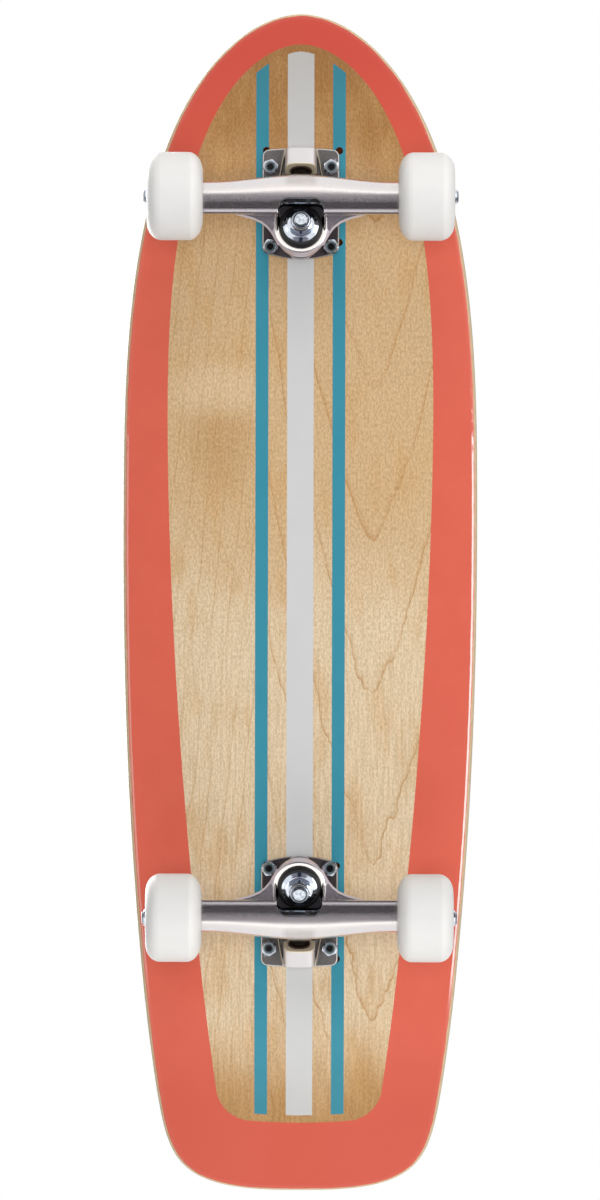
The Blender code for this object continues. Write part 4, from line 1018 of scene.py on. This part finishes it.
stations = np.linspace(-71.2, 71.2, 73)
bar_rows = [bar_section(across) for across in stations]
for end in (-72.0, 72.0):
    row = drawn_in(bar_section(end), 0.92)
    bar_rows = [row] + bar_rows if end < 0 else bar_rows + [row]
bar = capped(bar_rows)
flange_section = ((-7.8, 49.0), (-7.8, 59.2), (-4.7, 57.8), (1.5, 57.8), (1.5, 49.0))
flange = hull([(x, y, z) for x, z in flange_section for y in (-71.5, 71.5)])
body_points = circle(STEERING, 8.5, 7.2) + circle(STEERING, 16.0, 9.0) + circle(STEERING, 32.0, 8.5)
for side in (18.0, -18.0):
    body_points += [(13.9, side, 48.0), (10.9, side, 53.0), (-2.5, side, 53.0), (-5.5, side, 43.0)]
web_curve = ((62.0, -2.0), (52.0, -5.6), (41.0, -8.3), (33.0, -10.4), (27.0, -12.9))
web_curve += ((23.0, -16.0), (20.2, -19.4), (17.9, -23.4), (15.5, -28.0))
web_outline = [(x, y) for y, x in web_curve] + [(x, -y) for y, x in reversed(web_curve)]
ring_profile = [
    (0, 46.7), (18.6, 46.7, 1.5), (18.0, 43.0, 2.0), (17.0, 35.0), (15.8, 30.0, 0.8), (0, 30.0),
]
cheek_spots = ((-20, 14, 40), (-20, 17.6, 40), (-20, 16.6, 45.0), (-20, 14, 45.0))
cheek_spots += ((0, 14, 40), (0, 15.8, 40), (0, 14.6, 57), (0, 14, 57))
cheeks = [hull([(x, side * y, z) for x, y, z in cheek_spots]) for side in (1, -1)]
pin_profile = [(0, 14.0), (5.5, 14.0), (5.5, -1.2, 0.9), (2.4, -2.2, 1.0), (0, -2.3)]
forms = [hull(body_points), slab(web_outline, 37.0, 45.0, 1.5, 1), *cheeks]
hanger = cast(joined(bar, [flange, *forms], "UNION"), 0.5, 7, 60000)
turned_forms = [
    seated(turned(pin_profile, 96), STEERING),
    seated(turned(ring_profile, 96), KINGPIN),
]
hanger = joined(hanger, turned_forms, "UNION")


def pocket_outline(wall_x, half_width, corner):
    """The end of the pocket beside the bar: square, with rounded corners."""
    outline = [(-15.0, 14.7)]
    for turn in np.radians(np.linspace(90, 0, 9)):
        x = wall_x - corner + corner * math.cos(turn)
        outline.append((x, half_width - corner + corner * math.sin(turn)))
    return outline[::-1] + [(x, -y) for x, y in outline]


def cup_cutter(radius, low, wall_x):
    """The bushing's seat: round, but cut flat where it meets the bar."""
    mesh = seated(plug(radius, low, 76, 96), KINGPIN)
    bm = bmesh.new()
    bm.from_mesh(mesh)
    everything = list(bm.verts) + list(bm.edges) + list(bm.faces)
    cut = bmesh.ops.bisect_plane(
        bm, geom=everything, plane_co=(wall_x * MM, 0, 0), plane_no=(1, 0, 0), clear_outer=True
    )
    rim = [item for item in cut["geom_cut"] if isinstance(item, bmesh.types.BMEdge)]
    bmesh.ops.contextual_create(bm, geom=rim)
    return closed(bm, mesh)


under_ring = [
    (0, 39.2), (7.0, 39.2), (7.0, 32.5), (13.3, 32.5), (13.3, 31.0), (16.3, 31.0), (16.3, 0), (0, 0),
]
axle_hole = seated(
    plug(AXLE_BORE, -73, 73, 64), moved(AXLE_X, 0, AXLE_Z) @ Matrix.Rotation(math.pi / 2, 4, "X")
)
pocket_ends = pocket_outline(POCKET_WALL_X, POCKET_HALF_WIDTH, POCKET_CORNER)
swing_room = ((-19.5, 46.1), (-19.5, 62), (-9, 43.3), (-9, 62))
hanger = joined(
    hanger,
    [
        hull([(x, y, z) for x, y in pocket_ends for z in (41.0, 80.0)]),
        hull(
            [(x, y, 57.4) for x, y in pocket_outline(-0.9, 14.9, 4.5)]
            + [(x, y, 64.5) for x, y in pocket_outline(3.8, 14.2, 6.0)]
        ),
        hull([(x, side * 15.9, z) for x, z in swing_room for side in (1, -1)]),
        seated(turned(under_ring), KINGPIN),
        axle_hole,
    ],
    "DIFFERENCE",
)
seat_cutter = cup_cutter(14.9, 38.2, POCKET_WALL_X)
hanger_mesh = joined(cast(hanger, 0.4, 2, 80000), [seat_cutter], "DIFFERENCE")
keep_edge_distance(hanger_mesh, web_outline)

satin = Finish("tumbled_aluminium")
place = satin.place()
x, y, height = satin.split(place)
edge = satin.kept("edge", 2)
speckle = satin.noise(place, 0.75, 3, 0.75)
cloudy = satin.noise(place, 7.0, 3, 0.6)
# Sharp edges are paler: partly worn by handling, partly a painted highlight.
handled_edge_sheen = satin.node("NewGeometry", out=7).above(0.53, 0.62)
along_kingpin = (x - KINGPIN_X) * KINGPIN_WAY.x + height * KINGPIN_WAY.z
rim = along_kingpin.above(46.2, 46.5) * along_kingpin.below(47.0, 47.4) * (-x).above(9, 14)
machined = abs(y).above(71.3, 71.6).most(rim * (20 - abs(y)).above(0, 1))
past_side = (abs(y) - (POCKET_HALF_WIDTH - POCKET_CORNER)).most(0)
past_end = (x - (POCKET_WALL_X - POCKET_CORNER)).most(0)
from_corner = (past_side**2 + past_end**2) ** 0.5
# Painted shade: the pocket round the bushing and the scoop by the bar are near black.
pocket_shade = (POCKET_CORNER + 0.25 - from_corner).above(0, 0.2) * x.above(-17, -15)
from_scoop = ((abs(y) - 8.9).most(0) ** 2 + (x + 3.2).most(0) ** 2) ** 0.5
scooped = (5.5 - from_scoop).above(0, 0.3) * (62.3 - height).above(0, 0.4) * x.above(-1.4, -1.0)
pocket_shade = pocket_shade.most(scooped * height.above(52, 54))
# A painted highlight: a thin bluish-white line along the scoop's lip.
lip = x.above(-1.1, -0.8) * (-x).above(0.0, 0.3) * height.above(56, 57) * (13 - abs(y)).above(0, 4)
# Dark brown over the pivot pin and the neck: partly grease, partly painted shade of the neck facing
# the boss.
grease_and_shade = (from_pivot_point(x, height) + cloudy * 3).below(13.5, 17.5)
metal = satin.coats(
    tone(234, 230, 228),
    (speckle.above(0.3, 0.75), (224, 219, 220)),
    (cloudy.above(0.4, 0.8) * 0.25, (220, 216, 221)),
    (handled_edge_sheen * 0.5 + machined * 0.5, (246, 243, 238)),
    (pocket_shade * 0.9, (28, 27, 31)),
    (lip * cloudy.above(0.3, 0.6), (214, 226, 238)),
)
grain_tint = satin.mix(satin.noise(place, 0.7, 2, 0.6).above(0.36, 0.64), (0.7,) * 3, (1.25,) * 3)
grained = (4.4 - x).above(0, 3) * (1 - machined) * 0.85
metal = satin.mix(grained, metal, satin.tinted(metal, grain_tint))
web_height = height.above(34, 36) * height.below(45.2, 46)
# Painted shade: the webs are darker, set back between ring and bar.
web_shade = (-x).above(7.9, 8.6) * web_height * abs(y).above(15.5, 16.5)
# A painted highlight: a pale matt line along the webs' outer rim, where the rounded edge catches
# light.
web_rim_highlight = (edge + speckle * 0.5).below(1.2, 1.9) * web_height
web_rim_highlight = web_rim_highlight * (-x).above(7, 8) * abs(y).above(17.5, 19)
from_kingpin = (y**2 + ((x - KINGPIN_X) * KINGPIN_WAY.z - height * KINGPIN_WAY.x) ** 2) ** 0.5
# Painted shade: the ring's outer wall is a matt lilac grey, like the soft shade below its rim.
ring_wall_shade = from_kingpin.above(17.4, 18.2).most((45.0 - along_kingpin).above(0, 0.5))
ring_wall_shade = ring_wall_shade * (-x).above(17.5, 19.5) * along_kingpin.above(25, 27)
ring_wall_shade = ring_wall_shade * (47.3 - along_kingpin).above(0, 0.3)
satin.set(
    base_color=satin.coats(
        metal,
        (web_shade * 0.5, (140, 132, 142)),
        # Painted shade between the pivot's neck and the bar's top.
        (x.above(9, 14) * (13 - abs(y)).above(0, 6) * 0.5, (186, 180, 174)),
        (web_rim_highlight, (212, 203, 209)),
        # Painted shade: a darker lilac grey on the flange's top.
        ((-x).above(4.4, 5.2) * height.above(56.5, 57.5) * 0.75, (176, 171, 178)),
        (ring_wall_shade, (206, 196, 206)),
        (grease_and_shade, (40, 33, 28)),
    ),
    metallic=1 - web_rim_highlight.most(ring_wall_shade) * 0.75,
    roughness=0.2 + speckle * 0.1 - handled_edge_sheen * 0.04 - machined * 0.04 + grease_and_shade * 0.25 + lip * 0.4,
    normal=satin.bump(speckle, 0.13 - machined * 0.07, 0.2),
)
for truck, matrix in TRUCKS.items():
    placed(
        f"{truck}_hanger_casting", hanger_mesh, satin, f"{truck}_hanger_set", f"{truck}_hanger",
        matrix, 60,
    )

# The axle is one plain steel rod, ground to size and cast into the hanger, its ends threaded
# for the axle nuts.
axle_mesh = turned([(0, 105.7), (4.0, 105.7, 0.7), (4.0, -105.7, 0.7), (0, -105.7)], 64)
rod = Finish("ground_axle_steel", {"Metallic": 1.0})
place = rod.place()
x, y, along = rod.split(place)
lathe = rod.noise(place, (6, 6, 0.25), 2, 0.6)
threaded = abs(along).above(95, 96.5)
thread = screw_thread(x, y, along, 1.06) * threaded
rod.set(
    base_color=rod.mix(lathe, tone(206, 208, 212), tone(178, 181, 187)),
    roughness=0.22 + lathe * 0.14,
    normal=rod.bump(thread, 0.7 * threaded, 0.3, rod.bump(lathe, 0.1, 0.06)),
)


def axle_seat(matrix, distance, side):
    """A frame on the axle at a distance from the truck's middle, its Z pointing outward."""
    outward = Vector((0, side, 0))
    forward = Vector((1, 0, 0))
    seat = Matrix((forward, outward.cross(forward), outward)).transposed().to_4x4()
    seat.translation = Vector((AXLE_X, side * distance, AXLE_Z)) * MM
    return matrix @ seat


for truck, matrix in TRUCKS.items():
    placed(
        f"{truck}_axle_rod", axle_mesh, rod, f"{truck}_hanger_set", f"{truck}_axle",
        axle_seat(matrix, 0, 1),
    )

# The wheels are cast from off-white urethane and turned true: an 18 mm tread between rounded
# lips, and a seat for a bearing in each side.
def quarter(middle, half_axes, start, end):
    """Part of an ellipse, from one angle to another in degrees."""
    across, along = middle
    wide, long = half_axes
    turns = np.radians(np.linspace(start, end, 25))
    return [(across + wide * math.sin(turn), along + long * math.cos(turn)) for turn in turns]


wheel_profile = quarter((17.8, 9.0), (11.7, 9.75), 0, 90)
wheel_profile += [(29.5, z) for z in np.linspace(7.5, -7.5, 11)]
wheel_profile += quarter((15.4, -9.0), (14.1, 9.75), 90, 180)
wheel_profile += [
    (12.9, -18.2, 0.6), (11.3, -12.0), (11.3, -4.7, 0.2), (8.5, -4.7, 0.6), (8.5, 4.7, 0.6),
    (11.3, 4.7, 0.2), (11.3, 12.2), (13.0, 16.0, 0.8), (14.4, 18.2, 0.6),
]
wheel_mesh = turned(wheel_profile, 128)
white = Finish("white_wheel_urethane", {"Specular IOR Level": 0.5, "IOR": 1.49})
place = white.place()
x, y, along = white.split(place)
radius = (x * x + y * y) ** 0.5
turning = white.noise(white.node("CombineXYZ", {}, {0: radius, 1: along}), 0.5, 2, 0.7)
milky = white.noise(place, 12.0, 3, 0.55)
speck = white.noise(place, 1.4, 2, 0.6).above(0.68, 0.78)
tread = radius.above(29.0, 29.4)
white.set(
    base_color=white.coats(
        tone(237, 235, 231),
        (milky, (231, 229, 227)),
        (tread * (0.35 + milky * 0.3), (222, 221, 220)),
        (speck * 0.25, (198, 195, 190)),
    ),
    roughness=0.36 + milky * 0.08 + tread * 0.12,
    normal=white.bump(turning, 0.08, 0.1, white.bump(milky, 0.05, 0.4)),
)

# Each wheel turns on two ball bearings, pressed in from either side against a ridge: hardened
# steel races with a thin sheet-steel shield between them.
def bearing(shielded):
    profile = [(AXLE_BORE, 7.0, 0.25)]
    if shielded:
        profile += [(6.2, 7.0, 0.15), (6.2, 6.5), (9.2, 6.5), (9.2, 7.0, 0.15)]
    profile += [(11.0, 7.0, 0.35), (11.0, 0.0, 0.35), (AXLE_BORE, 0.0, 0.25)]
    return turned(profile, 96)


races = Finish("ground_bearing_steel", {"Metallic": 1.0})
place = races.place()
x, y, along = races.split(place)
radius = (x * x + y * y) ** 0.5
ground = races.noise(races.node("CombineXYZ", {}, {0: radius, 1: along}), 0.16, 2, 0.7)
shield = radius.above(6.15, 6.25) * radius.below(9.15, 9.25) * along.above(6.0, 6.4)
races.set(
    base_color=races.mix(shield, tone(214, 216, 220), tone(150, 152, 158)),
    roughness=0.2 + ground * 0.12 + shield * 0.14,
    normal=races.bump(ground, 0.12, 0.06),
)
inner_mesh = bearing(False)
outer_mesh = bearing(True)
speed_washer_mesh = turned(
    [(AXLE_BORE, 0.8, 0.1), (6.5, 0.8, 0.2), (6.5, 0.0, 0.2), (AXLE_BORE, 0.0, 0.1)]
)
axle_nut_mesh = lock_nut(12.7, 4.8, 5.4, 2.0, 4.3, 4.9)
axle_zinc = zinc_finish("zinc_of_axle_nuts", 4.9, 6.0, tone(120, 128, 134))

# A wheel goes on with its bearings, then a thin speed washer and a lock nut just tight enough
# to leave it free.
for truck, matrix in TRUCKS.items():
    for side in (1, -1):
        left = (matrix.to_3x3() @ Vector((0, side, 0))).y > 0
        name = f"{truck}_left" if left else f"{truck}_right"
        turning_set = f"{name}_wheel_set"
        carried = f"{truck}_hanger_set"
        for part, mesh, finish, body, slot, distance in (
            ("wheel", wheel_mesh, white, turning_set, "white_urethane", 84.3),
            ("inner_bearing", inner_mesh, races, turning_set, "bearing_steel", 72.3),
            ("outer_bearing", outer_mesh, races, turning_set, "bearing_steel", 89.3),
            ("speed_washer", speed_washer_mesh, steel, carried, "zinc_steel", 96.6),
            ("axle_nut", axle_nut_mesh, axle_zinc, carried, "zinc_steel", 97.7),
        ):
            seat = axle_seat(matrix, distance, side)
            placed(f"{name}_{part}_fine", mesh, finish, body, f"{name}_{part}", seat, 28)

# The studio, in metres: a far camera straight below, nose up in the picture, and soft boxes
# past the nose and the tail, below, at the right and above. Cards that only reflections see
# draw the metal's pale and dark bands. The pale floor is seen from above and keeps the shadow.
CAMERA_DISTANCE = 4.0
CAMERA_X = 0.0027
ROLL = math.radians(0.125)
camera_data = bpy.data.cameras.new("camera")
camera_data.lens = 176.75
camera_data.sensor_width = 36.0
camera = bpy.data.objects.new("camera", camera_data)
right = Vector((math.sin(ROLL), math.cos(ROLL), 0.0))
upward = Vector((math.cos(ROLL), -math.sin(ROLL), 0.0))
camera.matrix_world = Matrix.Translation((CAMERA_X, 0.0, DECK_UNDERSIDE * MM - CAMERA_DISTANCE)) @ (
    Matrix((right, upward, Vector((0.0, 0.0, -1.0)))).transposed().to_4x4()
)
bpy.context.scene.collection.objects.link(camera)
bpy.context.scene.camera = camera


def soft_box(name, place, size, watts, towards, colour=(1.0, 1.0, 1.0)):
    data = bpy.data.lights.new(name, "AREA")
    data.shape = "RECTANGLE"
    data.size, data.size_y = size
    data.energy = watts
    data.color = colour
    lamp = bpy.data.objects.new(name, data)
    lamp.location = place
    lamp.rotation_mode = "QUATERNION"
    lamp.rotation_quaternion = Vector(towards).to_track_quat("-Z", "Y")
    lamp.visible_camera = False
    bpy.context.scene.collection.objects.link(lamp)
    return lamp


for name, end, watts in (("box_past_nose", 1, 14.0), ("box_past_tail", -1, 14.5)):
    box = soft_box(
        name, (end * 1.7, 0.0, -0.42), (0.8, 2.0), watts, (-end, 0, 0.3), (1.0, 0.98, 0.95)
    )
    box.visible_glossy = False
fill = soft_box(
    "fill_from_below", (0.0, 0.0, -4.5), (2.0, 2.0), 72.0, (0, 0, 1), (0.985, 0.99, 1.0)
)
fill.visible_glossy = False
soft_box("box_at_right", (0.0, 1.3, -1.0), (2.6, 0.5), 13.0, (0, -1.3, 1.08))
soft_box("box_above", (0.5, -0.9, 2.2), (2.2, 2.2), 60.0, (-0.22, 0.4, -1))


def card(name, corners, colour):
    """A flat glowing card that only reflections see, as bright as its colour."""
    mesh = bpy.data.meshes.new(name)
    mesh.from_pydata(corners, [], [(0, 1, 2, 3)])
    shade = Finish(name, {"Roughness": 1.0, "Specular IOR Level": 0.0, "Emission Strength": 1.0})
    shade.set(base_color=(0.0, 0.0, 0.0), emission_color=colour)
    mesh.materials.append(shade.owner)
    item = bpy.data.objects.new(name, mesh)
    bpy.context.scene.collection.objects.link(item)
    for ray in ("camera", "diffuse", "shadow", "transmission"):
        setattr(item, f"visible_{ray}", False)


def level_card(name, near, far, half, level, colour):
    corners = [(near, -half, level), (far, -half, level), (far, half, level), (near, half, level)]
    card(name, corners, colour)


for name, near, far, light in (
    ("nose_line", 0.53, 0.86, 1.45), ("nose_card", 0.86, 1.5, 1.05),
    ("tail_line", -0.53, -0.86, 1.5), ("tail_card", -0.86, -1.5, 1.08),
):
    level_card(name, near, far, 1.2, -1.0, (light, light * 0.985, light * 0.965))
level_card("dark_card", -1.6, 1.6, 1.6, -4.4, (0.26, 0.245, 0.27))
for name, top, bottom, light in (
    ("flag_near_deck", 0.07, -0.3, 0.07), ("flag_below", -0.3, -0.95, 0.19)
):
    corners = [(0, -1.3, top), (0, 1.3, top), (0, 1.3, bottom), (0, -1.3, bottom)]
    card(name, corners, (light, light * 0.94, light * 1.04))
for name, near, far in (("front_flag", 0.238, 0.205), ("rear_flag", -0.175, -0.142)):
    level_card(name, near, far, 0.009, -0.05, (0.012, 0.02, 0.04))

world = bpy.data.worlds.new("studio")
bpy.context.scene.world = world
air = Finish(world)
camera_ray, glossy_ray, transmission_ray = [air.node("LightPath", out=ray) for ray in (0, 3, 6)]
rays = camera_ray.most(glossy_ray).most(transmission_ray)
background = air.tree.nodes["Background"]
air.feed(background.inputs["Color"], air.mix(rays, (0.96, 0.98, 1.0), (1.0, 1.0, 1.0)))
air.feed(background.inputs["Strength"], rays * 0.69 + 0.31)

floor_mesh = bpy.data.meshes.new("floor")
floor_mesh.from_pydata(ring_row(full_turn(64), 6, 0).tolist(), [], [tuple(range(64))])
floor = bpy.data.objects.new("floor", floor_mesh)
bpy.context.scene.collection.objects.link(floor)
pale = Finish("pale_floor", {"Roughness": 0.9, "Specular IOR Level": 0.1})
pale.set(base_color=(0.88, 0.88, 0.88))
from_middle = {0: pale.node("TexCoord", out=3)}
reach = pale.node("VectorMath", {"operation": "LENGTH"}, from_middle, 1)
seen = pale.node("LightPath") * (1 - pale.node("NewGeometry", out=6))
layers = {
    0: seen * reach.below(0.5, 1.7),
    1: pale.node("BsdfTransparent"),
    2: Wire(pale, pale.shader.outputs[0]),
}
pale.feed(pale.tree.nodes["Material Output"].inputs[0], pale.node("MixShader", {}, layers))
floor_mesh.materials.append(pale.owner)

bpy.context.scene.view_settings.view_transform = "Standard"
